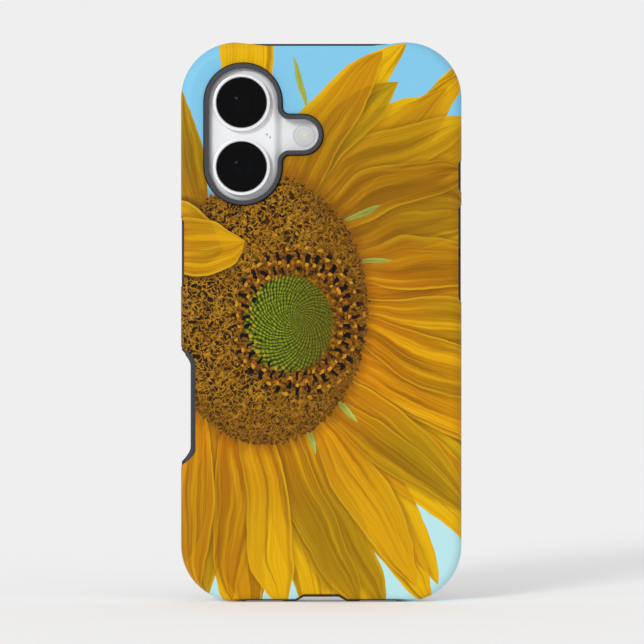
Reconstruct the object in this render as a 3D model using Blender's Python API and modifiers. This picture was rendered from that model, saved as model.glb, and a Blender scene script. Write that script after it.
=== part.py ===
"""A slim smartphone in a two-layer protective case, standing on its bottom edge.

Every number below is in millimetres and MM turns it into metres. X runs to the right as seen from
behind, Y runs from the back of the case towards the screen, and Z is up. The base is at Z = 0.
Each layer is the case's outline moved inwards by an inset, so the layers nest with even gaps.
"""

import math

import bmesh
import bpy
from mathutils import Matrix, Vector

MM = 0.001

# The case's outline, as seen from behind.
CASE_HALF_WIDTH = 38.3
CASE_HEIGHT = 152.7
CASE_CORNER_RADIUS = 15.3
CORNER_STEPS = 8

# How far each layer's outline lies inside the case's outline.
SHELL_INNER_INSET = 1.0
LINER_OUTER_INSET = 1.15
LINER_INNER_INSET = 2.35
PHONE_INSET = 2.5
GLASS_INSET = 3.35
GLASS_SEAT_INSET = 3.22
LIP_INSET = 3.7
FRAME_INNER_INSET = 5.0
PANEL_INSET = 5.3

# The stack from the back (low Y) to the screen (high Y).
CAMERA_RIM_BACK = -6.25
LENS_RING_BACK = -5.95
SHELL_BACK = -5.05
SHELL_CAVITY_BACK = -4.05
PLATEAU_BACK = -4.1
LINER_BACK = -3.9
LINER_CAVITY_BACK = -2.7
PHONE_BACK = -2.55
FRAME_BACK = -2.3
BACK_GLASS_FRONT = -1.85
MIDPLATE_BACK = 2.6
MIDPLATE_FRONT = 3.15
PANEL_BACK = 3.4
PANEL_FRONT = 4.35
SHELL_FRONT = 4.5
FRONT_GLASS_BACK = 4.55
FLANGE_BACK = 4.65
FRAME_FRONT = 5.0
PHONE_FRONT = 5.25
LINER_CAVITY_FRONT = 5.38
CASE_FRONT = 6.25
BUTTON_LINE = 1.35

# Every back-edge fillet is struck from one line, so it shrinks by the layer's inset.
BACK_FILLET_RADIUS = 3.0
FILLET_STEPS = 4

# The camera opening: an upright pill with an arm to its right.
PILL_X = -21.3
PILL_Z = 127.5
PILL_HALF_WIDTH = 10.85
PILL_HALF_HEIGHT = 19.57
ARM_Z = 127.35
ARM_HALF_HEIGHT = 5.75
ARM_END_X = 0.68
ARM_FILLET_RADIUS = 1.8
CAMERA_RIM_GAP = 0.15
CAMERA_RIM_WIDTH = 1.35

# The rear cameras, the flash and the rear microphone.
PLATEAU_X = -21.55
PLATEAU_HALF_WIDTH = 9.2
PLATEAU_HALF_HEIGHT = 17.95
LENS_X = -21.72
LENS_Z = {"upper": 136.1, "lower": 118.6}
LENS_RING_RADIUS = 7.8
LENS_BORE_RADIUS = 6.55
FLASH_X = -4.69
FLASH_Z = 127.2
FLASH_HOLE_RADIUS = 3.0
REAR_MICROPHONE_X = -14.3
REAR_MICROPHONE_Z = 127.0

# Side buttons: side of the phone (+1 right, -1 left), centre height and half length of the button.
BUTTONS = {
    "action": (1, 115.9, 3.0),
    "volume_up": (1, 102.0, 4.9),
    "volume_down": (1, 88.45, 4.9),
    "side": (-1, 95.25, 7.8),
}
BUTTON_HALF_WIDTH = 1.2
BUTTON_OUTER_INSET = 2.1
BUTTON_INNER_INSET = 5.3
BUTTON_GAP = 0.12
PAD_MARGIN = 0.7
PAD_OUTER_INSET = 0.15
PAD_INNER_INSET = 1.95
PAD_GAP = 0.15
SWITCH_INSET = 5.8
SWITCH_DEPTH = 0.8

# Openings in the shell's sides for the pads: side, lowest and highest Z.
SHELL_WINDOWS = {
    "window_action": (1, 111.7, 120.5),
    "window_volume": (1, 81.8, 108.2),
    "window_side": (-1, 86.0, 104.6),
}
WINDOW_BACK = -4.15
WINDOW_FRONT = 3.6
WINDOW_INSET = 1.08

# The camera control and the scoop in the case that leaves it open.
CONTROL_Z = 53.2
CONTROL_HALF_LENGTH = 9.5
CONTROL_HALF_WIDTH = 1.6
SCOOP_FLAT_LOW = 42.6
SCOOP_FLAT_HIGH = 64.0
SCOOP_RAMP = 4.6
SHELL_SCOOP_X = -34.3
LINER_SCOOP_X = -35.6

# The bottom edge.
PORT_OUTER_HALF_WIDTH = 4.47
PORT_OUTER_HALF_DEPTH = 1.58
PORT_WALL = 0.3
PORT_BASE = 2.7
PORT_TOP = 10.2
NOTCH_DEPTH = 1.4
NOTCH_TOP_HALF_WIDTH = 4.8
NOTCH_BASE_HALF_WIDTH = 7.1
SPEAKER_X = 15.45
SPEAKER_HOLES = 4
SPEAKER_HOLE_PITCH = 2.3
SCREW_X = 6.9
SCREW_RADIUS = 0.75

# The hole in the display and the slit above it.
ISLAND_Z = 142.6
ISLAND_HALF_WIDTH = 10.3
ISLAND_HALF_HEIGHT = 2.95
EARPIECE_Z = 148.0

PARTS = "phone_in_protective_case"
CUTTERS = "cutters"

# The columns give the directions of an outline's two axes and of its extrusion.
AXES = {
    "X": Matrix(((0, 0, 1), (1, 0, 0), (0, 1, 0))),
    "Y": Matrix(((1, 0, 0), (0, 0, -1), (0, 1, 0))),
    "Z": Matrix(((1, 0, 0), (0, 1, 0), (0, 0, 1))),
}
EXTRUSION_SIGN = {"X": 1, "Y": -1, "Z": 1}


def clear_scene():
    for leftover in list(bpy.data.objects):
        bpy.data.objects.remove(leftover)


def collection(name):
    group = bpy.data.collections.new(name)
    bpy.context.scene.collection.children.link(group)
    return group


def place_in(group, item):
    for owner in list(item.users_collection):
        owner.objects.unlink(item)
    group.objects.link(item)


def as_cutter(item):
    place_in(bpy.data.collections[CUTTERS], item)
    item.hide_render = True
    item.display_type = "WIRE"
    return item


def material(name, colour, roughness, metallic=0.0, transmission=0.0):
    """Each part has a Principled material of its own."""
    made = bpy.data.materials.new(name)
    made.use_nodes = True
    shader = made.node_tree.nodes["Principled BSDF"]
    shader.inputs["Base Color"].default_value = (*colour, 1.0)
    shader.inputs["Roughness"].default_value = roughness
    shader.inputs["Metallic"].default_value = metallic
    shader.inputs["Transmission Weight"].default_value = transmission
    return made


def as_part(item, colour, roughness, metallic=0.0, transmission=0.0):
    """Puts a finished object in the parts' collection, smooth where it is round."""
    place_in(bpy.data.collections[PARTS], item)
    item.data.materials.clear()
    item.data.materials.append(material(item.name, colour, roughness, metallic, transmission))
    item.data.shade_smooth()
    item.data.set_sharp_from_angle(angle=math.radians(35))
    return item


# ---------------------------------------------------------------- outlines

def arc(centre, radius, start, end, steps):
    """Points along an arc, both ends included; the angles are in degrees."""
    points = []
    for step in range(steps + 1):
        angle = math.radians(start + (end - start) * step / steps)
        points.append((centre[0] + radius * math.cos(angle), centre[1] + radius * math.sin(angle)))
    return points


def rounded_rectangle(low, high, radius, steps):
    right, left = high[0] - radius, low[0] + radius
    top, bottom = high[1] - radius, low[1] + radius
    points = arc((right, top), radius, 0, 90, steps)
    points += arc((left, top), radius, 90, 180, steps)
    points += arc((left, bottom), radius, 180, 270, steps)
    points += arc((right, bottom), radius, 270, 360, steps)
    return points


def case_outline(inset):
    """The case's outline moved inwards; its corners stay struck from the same centres."""
    half_width = CASE_HALF_WIDTH - inset
    low = (-half_width, inset)
    high = (half_width, CASE_HEIGHT - inset)
    return rounded_rectangle(low, high, CASE_CORNER_RADIUS - inset, CORNER_STEPS)


def stadium(half_a, half_b, steps=6):
    """A slot with fully round ends along its longer direction, centred on its own origin."""
    radius = min(half_a, half_b)
    reach_a, reach_b = half_a - radius, half_b - radius
    if half_a >= half_b:
        return (arc((reach_a, 0), radius, -90, 90, steps)
                + arc((-reach_a, 0), radius, 90, 270, steps))
    return (arc((0, reach_b), radius, 0, 180, steps)
            + arc((0, -reach_b), radius, 180, 360, steps))


def camera_outline(grow):
    """The camera opening's outline moved outwards by grow: a pill, an arm and two fillets."""
    half_width = PILL_HALF_WIDTH + grow
    reach = PILL_HALF_HEIGHT - PILL_HALF_WIDTH
    arm_half = ARM_HALF_HEIGHT + grow
    fillet = ARM_FILLET_RADIUS - grow
    side = PILL_X + half_width
    arm_end = ARM_END_X + grow - arm_half
    points = arc((PILL_X, PILL_Z + reach), half_width, 0, 180, 14)
    points += arc((PILL_X, PILL_Z - reach), half_width, 180, 360, 14)
    points += arc((side + fillet, ARM_Z - arm_half - fillet), fillet, 180, 90, 3)
    points += arc((arm_end, ARM_Z), arm_half, -90, 90, 8)
    points += arc((side + fillet, ARM_Z + arm_half + fillet), fillet, 270, 180, 3)
    return points


def scoop_outline(flat_x, grow):
    """The finger scoop: a flat with a ramp at each end that starts level and then steepens."""
    steps = 6
    outside_x = -CASE_HALF_WIDTH - 2.0
    flat_low = SCOOP_FLAT_LOW - grow
    flat_high = SCOOP_FLAT_HIGH + grow
    depth = flat_x + CASE_HALF_WIDTH
    points = []
    for step in range(steps + 1):
        share = step / steps
        points.append((flat_x - depth * (1 - math.cos(share * math.pi / 2)),
                       flat_high + SCOOP_RAMP * share))
    points.append((outside_x, flat_high + SCOOP_RAMP + 1.5))
    points.append((outside_x, flat_low - SCOOP_RAMP - 1.5))
    for step in range(steps, -1, -1):
        share = step / steps
        points.append((flat_x - depth * (1 - math.cos(share * math.pi / 2)),
                       flat_low - SCOOP_RAMP * share))
    return points


# ---------------------------------------------------------------- solids

def curve_to_mesh(name, curve):
    """The curve's solid as a mesh object with its caps welded on."""
    guide = bpy.data.objects.new(name + "_outline", curve)
    bpy.context.scene.collection.objects.link(guide)
    graph = bpy.context.evaluated_depsgraph_get()
    mesh = bpy.data.meshes.new_from_object(guide.evaluated_get(graph))
    mesh.name = name
    solid = bpy.data.objects.new(name, mesh)
    solid.matrix_world = guide.matrix_world
    bpy.context.scene.collection.objects.link(solid)
    bpy.data.objects.remove(guide)
    bpy.data.curves.remove(curve)
    return solid


def round_rim(edit, height, width, segments):
    """Bevels the edges that lie on one cap of an extrusion."""
    rim = []
    for edge in edit.edges:
        on_cap = all(abs(corner.co.z - height) < 1e-6 for corner in edge.verts)
        turns = len(edge.link_faces) == 2 and edge.calc_face_angle() > 1.0
        if on_cap and turns:
            rim.append(edge)
    bmesh.ops.bevel(edit, geom=rim, offset=width * MM, offset_type="OFFSET", segments=segments,
                    profile=0.5, affect="EDGES", clamp_overlap=True)


def prism(name, outlines, axis, low, high, centre=(0.0, 0.0), low_rim=None, high_rim=None):
    """Extrudes closed outlines along a world axis from low to high.

    An outline's two coordinates are (Y, Z) for axis X, (X, Z) for axis Y and (X, Y) for axis Z,
    measured from centre. A rim is (width, segments) of the rounding at that end.
    """
    curve = bpy.data.curves.new(name, "CURVE")
    curve.dimensions = "2D"
    curve.fill_mode = "BOTH"
    curve.extrude = (high - low) / 2 * MM
    for outline in outlines:
        spline = curve.splines.new("POLY")
        spline.points.add(len(outline) - 1)
        spline.use_cyclic_u = True
        for point, (first, second) in zip(spline.points, outline):
            point.co = (first * MM, second * MM, 0.0, 1.0)
    solid = curve_to_mesh(name, curve)

    edit = bmesh.new()
    edit.from_mesh(solid.data)
    bmesh.ops.remove_doubles(edit, verts=edit.verts, dist=1e-6)
    bmesh.ops.dissolve_limit(edit, angle_limit=math.radians(0.5), verts=edit.verts, edges=edit.edges)
    bmesh.ops.recalc_face_normals(edit, faces=edit.faces)
    half_depth = (high - low) / 2 * MM
    sign = EXTRUSION_SIGN[axis]
    if low_rim:
        round_rim(edit, -half_depth * sign, *low_rim)
    if high_rim:
        round_rim(edit, half_depth * sign, *high_rim)
    edit.to_mesh(solid.data)
    edit.free()

    middle = (low + high) / 2 * sign
    turn = AXES[axis]
    offset = turn @ Vector((centre[0], centre[1], middle)) * MM
    solid.matrix_world = Matrix.Translation(offset) @ turn.to_4x4()
    return solid


def case_slab(name, inset, low, high, low_rim=None, high_rim=None):
    """A slab with the case's outline moved inwards by inset."""
    return prism(name, [case_outline(inset)], "Y", low, high, low_rim=low_rim, high_rim=high_rim)


def back_fillet(inset):
    return (BACK_FILLET_RADIUS - inset, FILLET_STEPS)


def plate(name, x_range, y_range, z_range, radius=1.0):
    """A flat part with rounded corners, such as a battery or a board."""
    centre = ((x_range[0] + x_range[1]) / 2, (z_range[0] + z_range[1]) / 2)
    half = ((x_range[1] - x_range[0]) / 2, (z_range[1] - z_range[0]) / 2)
    outline = rounded_rectangle((-half[0], -half[1]), half, radius, 3)
    return prism(name, [outline], "Y", y_range[0], y_range[1], centre=centre)


def disc(name, x, z, radius, low, high, sides, axis="Y"):
    """A cylinder along Y at (x, z), or along Z at (x, BUTTON_LINE)."""
    middle = (low + high) / 2
    if axis == "Y":
        place = (x * MM, middle * MM, z * MM)
        turn = (math.pi / 2, 0, 0)
    else:
        place = (x * MM, BUTTON_LINE * MM, middle * MM)
        turn = (0, 0, 0)
    bpy.ops.mesh.primitive_cylinder_add(vertices=sides, radius=radius * MM,
                                        depth=(high - low) * MM, location=place, rotation=turn)
    item = bpy.context.object
    item.name = name
    item.data.name = name
    return item


def turned(name, x, z, profile, closed, steps=32):
    """A profile of (radius, Y) points, outer side first from the back, turned about a Y axis."""
    mesh = bpy.data.meshes.new(name)
    corners = [(radius * MM, 0.0, -y * MM) for radius, y in profile]
    edges = [(index, index + 1) for index in range(len(profile) - 1)]
    if closed:
        edges.append((len(profile) - 1, 0))
    mesh.from_pydata(corners, edges, [])
    item = bpy.data.objects.new(name, mesh)
    bpy.context.scene.collection.objects.link(item)
    item.location = (x * MM, 0.0, z * MM)
    item.rotation_euler = (math.pi / 2, 0, 0)
    screw = item.modifiers.new("turn", "SCREW")
    screw.axis = "Z"
    screw.angle = 2 * math.pi
    screw.steps = steps
    screw.render_steps = steps
    screw.use_merge_vertices = True
    screw.merge_threshold = 0.00001
    return item


def combine(item, other, operation):
    boolean = item.modifiers.new(other.name, "BOOLEAN")
    boolean.operation = operation
    boolean.solver = "EXACT"
    boolean.object = as_cutter(other)


def cut(item, *cutters):
    for cutter in cutters:
        combine(item, cutter, "DIFFERENCE")


def add(item, *others):
    for other in others:
        combine(item, other, "UNION")


# ---------------------------------------------------------------- the case

def pad_size(name):
    """Half width and half length of a pad, which is larger than its button all round."""
    half_length = BUTTONS[name][2]
    return BUTTON_HALF_WIDTH + PAD_MARGIN, half_length + PAD_MARGIN


def across(side, first_inset, second_inset):
    """The X range between two insets on one side of the case."""
    edges = [side * (CASE_HALF_WIDTH - first_inset), side * (CASE_HALF_WIDTH - second_inset)]
    return min(edges), max(edges)


def notch_outline():
    """The recess in the bottom edge below the port; its slopes run on past the base."""
    below = 3.0
    slope = (NOTCH_BASE_HALF_WIDTH - NOTCH_TOP_HALF_WIDTH) / NOTCH_DEPTH
    top, wide = NOTCH_TOP_HALF_WIDTH, NOTCH_BASE_HALF_WIDTH + slope * below
    return [(top, NOTCH_DEPTH), (-top, NOTCH_DEPTH), (-wide, -below), (wide, -below)]


def speaker_recess_outline():
    return [(4.6, 0.4), (-4.6, 0.4), (-8.0, -1.0), (8.0, -1.0)]


def top_dip_outline():
    """The shell's top edge dips, so that the liner's flange shows above it."""
    depth, above = 1.1, 0.7
    return [(-15.0, -depth), (14.0, -depth), (28.6, above), (-29.6, above)]


def bottom_cutters(prefix):
    """The openings that the shell and the liner share along the bottom edge."""
    cutters = [
        prism(prefix + "_port_notch", [notch_outline()], "Y", -9, 9),
        prism(prefix + "_port_hole", [stadium(6.2, 2.9)], "Z", -2, 3.4, centre=(0, BUTTON_LINE)),
    ]
    for side, label in ((-1, "left"), (1, "right")):
        centre = (side * SPEAKER_X, BUTTON_LINE)
        cutters.append(prism(prefix + "_sound_slot_" + label, [stadium(4.9, 1.2)], "Z", -2, 3.4,
                             centre=centre))
        cutters.append(prism(prefix + "_sound_recess_" + label, [speaker_recess_outline()], "Y",
                             -9, 9, centre=(side * SPEAKER_X, 0)))
    return cutters


def case_shell():
    """The hard outer layer, open at the front."""
    shell = case_slab("case_shell", 0.0, SHELL_BACK, SHELL_FRONT, low_rim=back_fillet(0.0))
    cut(shell, case_slab("shell_cavity", SHELL_INNER_INSET, SHELL_CAVITY_BACK, SHELL_FRONT + 3,
                         low_rim=back_fillet(SHELL_INNER_INSET)))
    cut(shell, prism("shell_camera_opening", [camera_outline(0.0)], "Y", -9, -1))
    for name, (side, low, high) in SHELL_WINDOWS.items():
        centre = ((WINDOW_BACK + WINDOW_FRONT) / 2, (low + high) / 2)
        half = ((WINDOW_FRONT - WINDOW_BACK) / 2, (high - low) / 2)
        outline = rounded_rectangle((-half[0], -half[1]), half, 1.5, 3)
        x_range = across(side, -2.0, WINDOW_INSET)
        cut(shell, prism(name, [outline], "X", *x_range, centre=centre))
    cut(shell, prism("shell_scoop", [scoop_outline(SHELL_SCOOP_X, 1.0)], "Y", -9, 9))
    cut(shell, prism("shell_top_dip", [top_dip_outline()], "Y", -9, 9, centre=(0, CASE_HEIGHT)))
    cut(shell, *bottom_cutters("shell"))
    as_part(shell, (0.72, 0.46, 0.06), 0.3)


def case_liner():
    """The soft inner layer, with a flange in front of the shell and a rim around the cameras."""
    liner = case_slab("case_liner", LINER_OUTER_INSET, LINER_BACK, CASE_FRONT - 0.6,
                      low_rim=back_fillet(LINER_OUTER_INSET))
    add(liner, case_slab("liner_flange", 0.0, FLANGE_BACK, CASE_FRONT, high_rim=(0.9, 3)))
    add(liner, prism("liner_camera_rim", [camera_outline(-CAMERA_RIM_GAP)], "Y",
                     CAMERA_RIM_BACK, LINER_BACK + 0.6, low_rim=(0.4, 2)))
    cut(liner, case_slab("liner_cavity", LINER_INNER_INSET, LINER_CAVITY_BACK, LINER_CAVITY_FRONT,
                         low_rim=back_fillet(LINER_INNER_INSET)))
    cut(liner, case_slab("screen_opening", LIP_INSET, 0, CASE_FRONT + 2))
    cut(liner, prism("liner_camera_opening", [camera_outline(-CAMERA_RIM_WIDTH)], "Y", -9, -1))
    for name, (side, centre_z, _) in BUTTONS.items():
        half_width, half_long = pad_size(name)
        outline = stadium(half_width + PAD_GAP, half_long + PAD_GAP)
        x_range = across(side, 0.5, LINER_INNER_INSET + 0.6)
        cut(liner, prism(name + "_pad_hole", [outline], "X", *x_range,
                         centre=(BUTTON_LINE, centre_z)))
    cut(liner, prism("liner_scoop", [scoop_outline(LINER_SCOOP_X, 0.0)], "Y", -9, 9))
    cut(liner, *bottom_cutters("liner"))
    as_part(liner, (0.075, 0.075, 0.085), 0.6)


def case_pads():
    """The pads over the buttons, each moving with the button under it."""
    for name, (side, centre_z, _) in BUTTONS.items():
        low, high = across(side, PAD_OUTER_INSET, PAD_INNER_INSET)
        rim = {"high_rim": (0.4, 2)} if side > 0 else {"low_rim": (0.4, 2)}
        pad = prism(name + "_pad", [stadium(*pad_size(name))], "X", low, high,
                    centre=(BUTTON_LINE, centre_z), **rim)
        as_part(pad, (0.07, 0.07, 0.08), 0.6)


# ---------------------------------------------------------------- the phone's outside

def phone_frame():
    """The metal band with seats for both glasses and holes for what passes through it."""
    frame = case_slab("phone_frame", PHONE_INSET, FRAME_BACK, FRAME_FRONT,
                      low_rim=(0.8, 2), high_rim=(0.8, 2))
    cut(frame, case_slab("frame_inside", FRAME_INNER_INSET, -6, 9))
    cut(frame, case_slab("front_glass_seat", GLASS_SEAT_INSET, PANEL_FRONT + 0.05, 9))
    cut(frame, case_slab("back_glass_seat", GLASS_SEAT_INSET, -6, BACK_GLASS_FRONT + 0.15))
    for name, (side, centre_z, half_length) in BUTTONS.items():
        outline = stadium(BUTTON_HALF_WIDTH + BUTTON_GAP, half_length + BUTTON_GAP)
        x_range = across(side, 1.5, FRAME_INNER_INSET + 1.0)
        cut(frame, prism(name + "_button_hole", [outline], "X", *x_range,
                         centre=(BUTTON_LINE, centre_z)))
    control = stadium(CONTROL_HALF_WIDTH + BUTTON_GAP, CONTROL_HALF_LENGTH + BUTTON_GAP)
    cut(frame, prism("camera_control_hole", [control], "X", *across(-1, 1.5, 6.0),
                     centre=(BUTTON_LINE, CONTROL_Z)))
    port = stadium(PORT_OUTER_HALF_WIDTH + PAD_GAP, PORT_OUTER_HALF_DEPTH + PAD_GAP)
    cut(frame, prism("port_hole", [port], "Z", 1.5, 6.0, centre=(0, BUTTON_LINE)))
    for side, label in ((-1, "left"), (1, "right")):
        cut(frame, disc("screw_hole_" + label, side * SCREW_X, None, SCREW_RADIUS + 0.2,
                        1.5, 6.0, 10, axis="Z"))
        for hole in range(SPEAKER_HOLES):
            offset = (hole - (SPEAKER_HOLES - 1) / 2) * SPEAKER_HOLE_PITCH
            cut(frame, disc("sound_hole_" + label + str(hole), side * SPEAKER_X + offset, None,
                            0.65, 1.5, 6.0, 8, axis="Z"))
    as_part(frame, (0.86, 0.87, 0.88), 0.35, metallic=1.0)


def back_glass():
    """The glass back, one piece with the raised camera plateau."""
    glass = case_slab("back_glass", GLASS_INSET, PHONE_BACK, BACK_GLASS_FRONT, low_rim=(0.3, 2))
    plateau = prism("camera_plateau", [stadium(PLATEAU_HALF_WIDTH, PLATEAU_HALF_HEIGHT, 14)], "Y",
                    PLATEAU_BACK, BACK_GLASS_FRONT - 0.3, centre=(PLATEAU_X, PILL_Z),
                    low_rim=(0.7, 3))
    add(glass, plateau)
    for level, lens_z in LENS_Z.items():
        cut(glass, disc("lens_bore_" + level, LENS_X, lens_z, LENS_BORE_RADIUS, -9, 1, 32))
    cut(glass, disc("flash_hole", FLASH_X, FLASH_Z, FLASH_HOLE_RADIUS, -9, 1, 24))
    cut(glass, disc("rear_microphone_hole", REAR_MICROPHONE_X, REAR_MICROPHONE_Z, 0.4, -9, 1, 8))
    as_part(glass, (0.93, 0.93, 0.92), 0.18)


def front_glass():
    """The cover glass over the screen, with a slit for the earpiece."""
    glass = case_slab("front_glass", GLASS_INSET, FRONT_GLASS_BACK, PHONE_FRONT,
                      high_rim=(0.35, 2))
    cut(glass, prism("earpiece_slit", [stadium(5.5, 0.45, 4)], "Y", 3, 8, centre=(0, EARPIECE_Z)))
    as_part(glass, (0.02, 0.02, 0.025), 0.05)
    mesh = prism("earpiece_mesh", [stadium(5.3, 0.25, 4)], "Y", FRONT_GLASS_BACK + 0.1,
                 PHONE_FRONT - 0.2, centre=(0, EARPIECE_Z))
    as_part(mesh, (0.05, 0.05, 0.05), 0.6, metallic=0.6)


def phone_buttons():
    """The phone's own buttons and the switches that they press."""
    for name, (side, centre_z, half_length) in BUTTONS.items():
        low, high = across(side, BUTTON_OUTER_INSET, BUTTON_INNER_INSET)
        rim = {"high_rim": (0.25, 1)} if side > 0 else {"low_rim": (0.25, 1)}
        button = prism(name + "_button", [stadium(BUTTON_HALF_WIDTH, half_length)], "X", low, high,
                       centre=(BUTTON_LINE, centre_z), **rim)
        as_part(button, (0.86, 0.87, 0.88), 0.35, metallic=1.0)
        add_switch(name + "_switch", side, centre_z)
    low, high = across(-1, PHONE_INSET + 0.05, BUTTON_INNER_INSET)
    control = prism("camera_control_button", [stadium(CONTROL_HALF_WIDTH, CONTROL_HALF_LENGTH)],
                    "X", low, high, centre=(BUTTON_LINE, CONTROL_Z), low_rim=(0.15, 1))
    as_part(control, (0.8, 0.8, 0.81), 0.12)
    add_switch("camera_control_sensor", -1, CONTROL_Z)


def add_switch(name, side, centre_z):
    outline = rounded_rectangle((-0.9, -1.6), (0.9, 1.6), 0.4, 2)
    switch = prism(name, [outline], "X", *across(side, SWITCH_INSET, SWITCH_INSET + SWITCH_DEPTH),
                   centre=(BUTTON_LINE, centre_z))
    as_part(switch, (0.75, 0.72, 0.6), 0.4, metallic=0.8)


# ---------------------------------------------------------------- cameras and flash

def camera(level):
    """One rear camera: trim ring, cover glass, barrel, front lens element and sensor block."""
    lens_z = LENS_Z[level]
    ring_outer, seat_radius, collar, inside = LENS_RING_RADIUS, 6.98, 6.4, 5.85
    ring_front = PLATEAU_BACK - 0.12
    seat = -5.0
    ring = turned("lens_ring_" + level, LENS_X, lens_z, [
        (ring_outer - 0.15, LENS_RING_BACK), (ring_outer, LENS_RING_BACK + 0.15),
        (ring_outer, ring_front), (collar, ring_front), (collar, BACK_GLASS_FRONT + 0.1),
        (inside, BACK_GLASS_FRONT + 0.1), (inside, seat), (seat_radius, seat),
        (seat_radius, LENS_RING_BACK)], closed=True, steps=40)
    as_part(ring, (0.9, 0.9, 0.9), 0.25, metallic=1.0)

    cover = disc("lens_cover_" + level, LENS_X, lens_z, seat_radius - 0.13, LENS_RING_BACK + 0.15,
                 seat - 0.12, 40)
    as_part(cover, (0.03, 0.03, 0.04), 0.03)

    barrel_outer, barrel_inner = 5.7, 3.4
    barrel = turned("lens_barrel_" + level, LENS_X, lens_z, [
        (barrel_outer, -4.8), (barrel_outer, -0.6), (barrel_inner, -0.6),
        (barrel_inner, -3.9), (4.6, -4.8)], closed=True)
    as_part(barrel, (0.03, 0.03, 0.03), 0.4)

    element_radius = 3.15
    element = turned("lens_element_" + level, LENS_X, lens_z, [
        (0.0, -3.9), (1.6, -3.75), (2.6, -3.45), (element_radius, -3.1),
        (element_radius, -2.2), (0.0, -2.2)], closed=False, steps=24)
    as_part(element, (0.05, 0.05, 0.07), 0.02)

    half = 6.0
    sensor = plate("camera_sensor_" + level, (LENS_X - half, LENS_X + half), (-0.4, 2.35),
                   (lens_z - half, lens_z + half))
    as_part(sensor, (0.1, 0.1, 0.11), 0.4)


def flash_and_microphone():
    window = disc("flash_window", FLASH_X, FLASH_Z, FLASH_HOLE_RADIUS - 0.14, PHONE_BACK,
                  BACK_GLASS_FRONT, 24)
    as_part(window, (0.95, 0.93, 0.85), 0.2)
    led = plate("flash_led", (FLASH_X - 1.2, FLASH_X + 1.2), (-1.65, -1.0),
                (FLASH_Z - 1.2, FLASH_Z + 1.2), radius=0.3)
    as_part(led, (0.95, 0.85, 0.35), 0.5)
    microphone = plate("rear_microphone", (REAR_MICROPHONE_X - 1.0, REAR_MICROPHONE_X + 1.6),
                       (-1.65, -0.8), (REAR_MICROPHONE_Z - 1.1, REAR_MICROPHONE_Z + 1.1),
                       radius=0.3)
    as_part(microphone, (0.7, 0.6, 0.35), 0.3, metallic=1.0)


# ---------------------------------------------------------------- inside the phone

def display():
    panel = case_slab("display_panel", PANEL_INSET, PANEL_BACK, PANEL_FRONT)
    cut(panel, prism("display_opening", [stadium(ISLAND_HALF_WIDTH, ISLAND_HALF_HEIGHT)], "Y", 2, 6,
                     centre=(0, ISLAND_Z)))
    as_part(panel, (0.01, 0.01, 0.012), 0.2)
    front_camera = disc("front_camera", -6.6, ISLAND_Z, 2.3, PANEL_BACK, PANEL_FRONT, 20)
    as_part(front_camera, (0.02, 0.02, 0.03), 0.1)
    sensor = prism("face_sensor", [stadium(4.6, 2.1)], "Y", PANEL_BACK, PANEL_FRONT,
                   centre=(3.2, ISLAND_Z))
    as_part(sensor, (0.03, 0.02, 0.03), 0.2)
    midplate = case_slab("midplate", PANEL_INSET, MIDPLATE_BACK, MIDPLATE_FRONT)
    through = (2.0, 4.0)
    port_reach = PORT_OUTER_HALF_WIDTH + 0.73
    cut(midplate, plate("midplate_port_relief", (-port_reach, port_reach), through,
                        (2.0, PORT_TOP + 0.5), radius=0.5))
    control_reach = CONTROL_HALF_LENGTH + 1.0
    relief_depth = 1.6
    relief_end = BUTTON_INNER_INSET + relief_depth - CASE_HALF_WIDTH
    cut(midplate, plate("midplate_control_relief", (-36.0, relief_end), through,
                        (CONTROL_Z - control_reach, CONTROL_Z + control_reach), radius=0.5))
    as_part(midplate, (0.6, 0.61, 0.62), 0.4, metallic=1.0)


def battery_and_board():
    battery = plate("battery", (-5.0, 31.2), (-0.75, 2.4), (22.5, 118.0), radius=2.0)
    as_part(battery, (0.08, 0.08, 0.09), 0.5)
    board = plate("main_board", (-31.2, -6.2), (0.0, 0.8), (24.0, 104.0), radius=1.5)
    as_part(board, (0.02, 0.1, 0.06), 0.4)
    shield = plate("board_shield", (-30.0, -7.4), (0.95, 2.4), (40.0, 96.0), radius=1.0)
    as_part(shield, (0.7, 0.7, 0.68), 0.35, metallic=1.0)


def charging_parts():
    """The wireless charging coil and the ring of magnets around it, behind the glass back."""
    centre_z = CASE_HEIGHT / 2
    back = -1.68
    coil = turned("charging_coil", 0.0, centre_z, [(22.4, back), (22.4, -1.3), (10.0, -1.3),
                                                   (10.0, back)], closed=True)
    as_part(coil, (0.75, 0.4, 0.2), 0.35, metallic=1.0)
    magnets = turned("magnet_ring", 0.0, centre_z, [(27.6, back), (27.6, -1.0), (23.4, -1.0),
                                                    (23.4, back)], closed=True)
    as_part(magnets, (0.5, 0.5, 0.52), 0.3, metallic=1.0)


def port():
    outer = stadium(PORT_OUTER_HALF_WIDTH, PORT_OUTER_HALF_DEPTH)
    inner = stadium(PORT_OUTER_HALF_WIDTH - PORT_WALL, PORT_OUTER_HALF_DEPTH - PORT_WALL)
    socket = prism("charging_port", [outer], "Z", PORT_BASE, PORT_TOP, centre=(0, BUTTON_LINE))
    cut(socket, prism("port_inside", [inner], "Z", PORT_BASE - 2, PORT_TOP - 0.6,
                      centre=(0, BUTTON_LINE)))
    as_part(socket, (0.75, 0.75, 0.76), 0.3, metallic=1.0)
    outline = rounded_rectangle((-3.3, -0.34), (3.3, 0.34), 0.15, 2)
    tongue = prism("port_tongue", [outline], "Z", PORT_BASE + 0.8, PORT_TOP - 0.8,
                   centre=(0, BUTTON_LINE))
    as_part(tongue, (0.06, 0.06, 0.06), 0.4)


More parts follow.
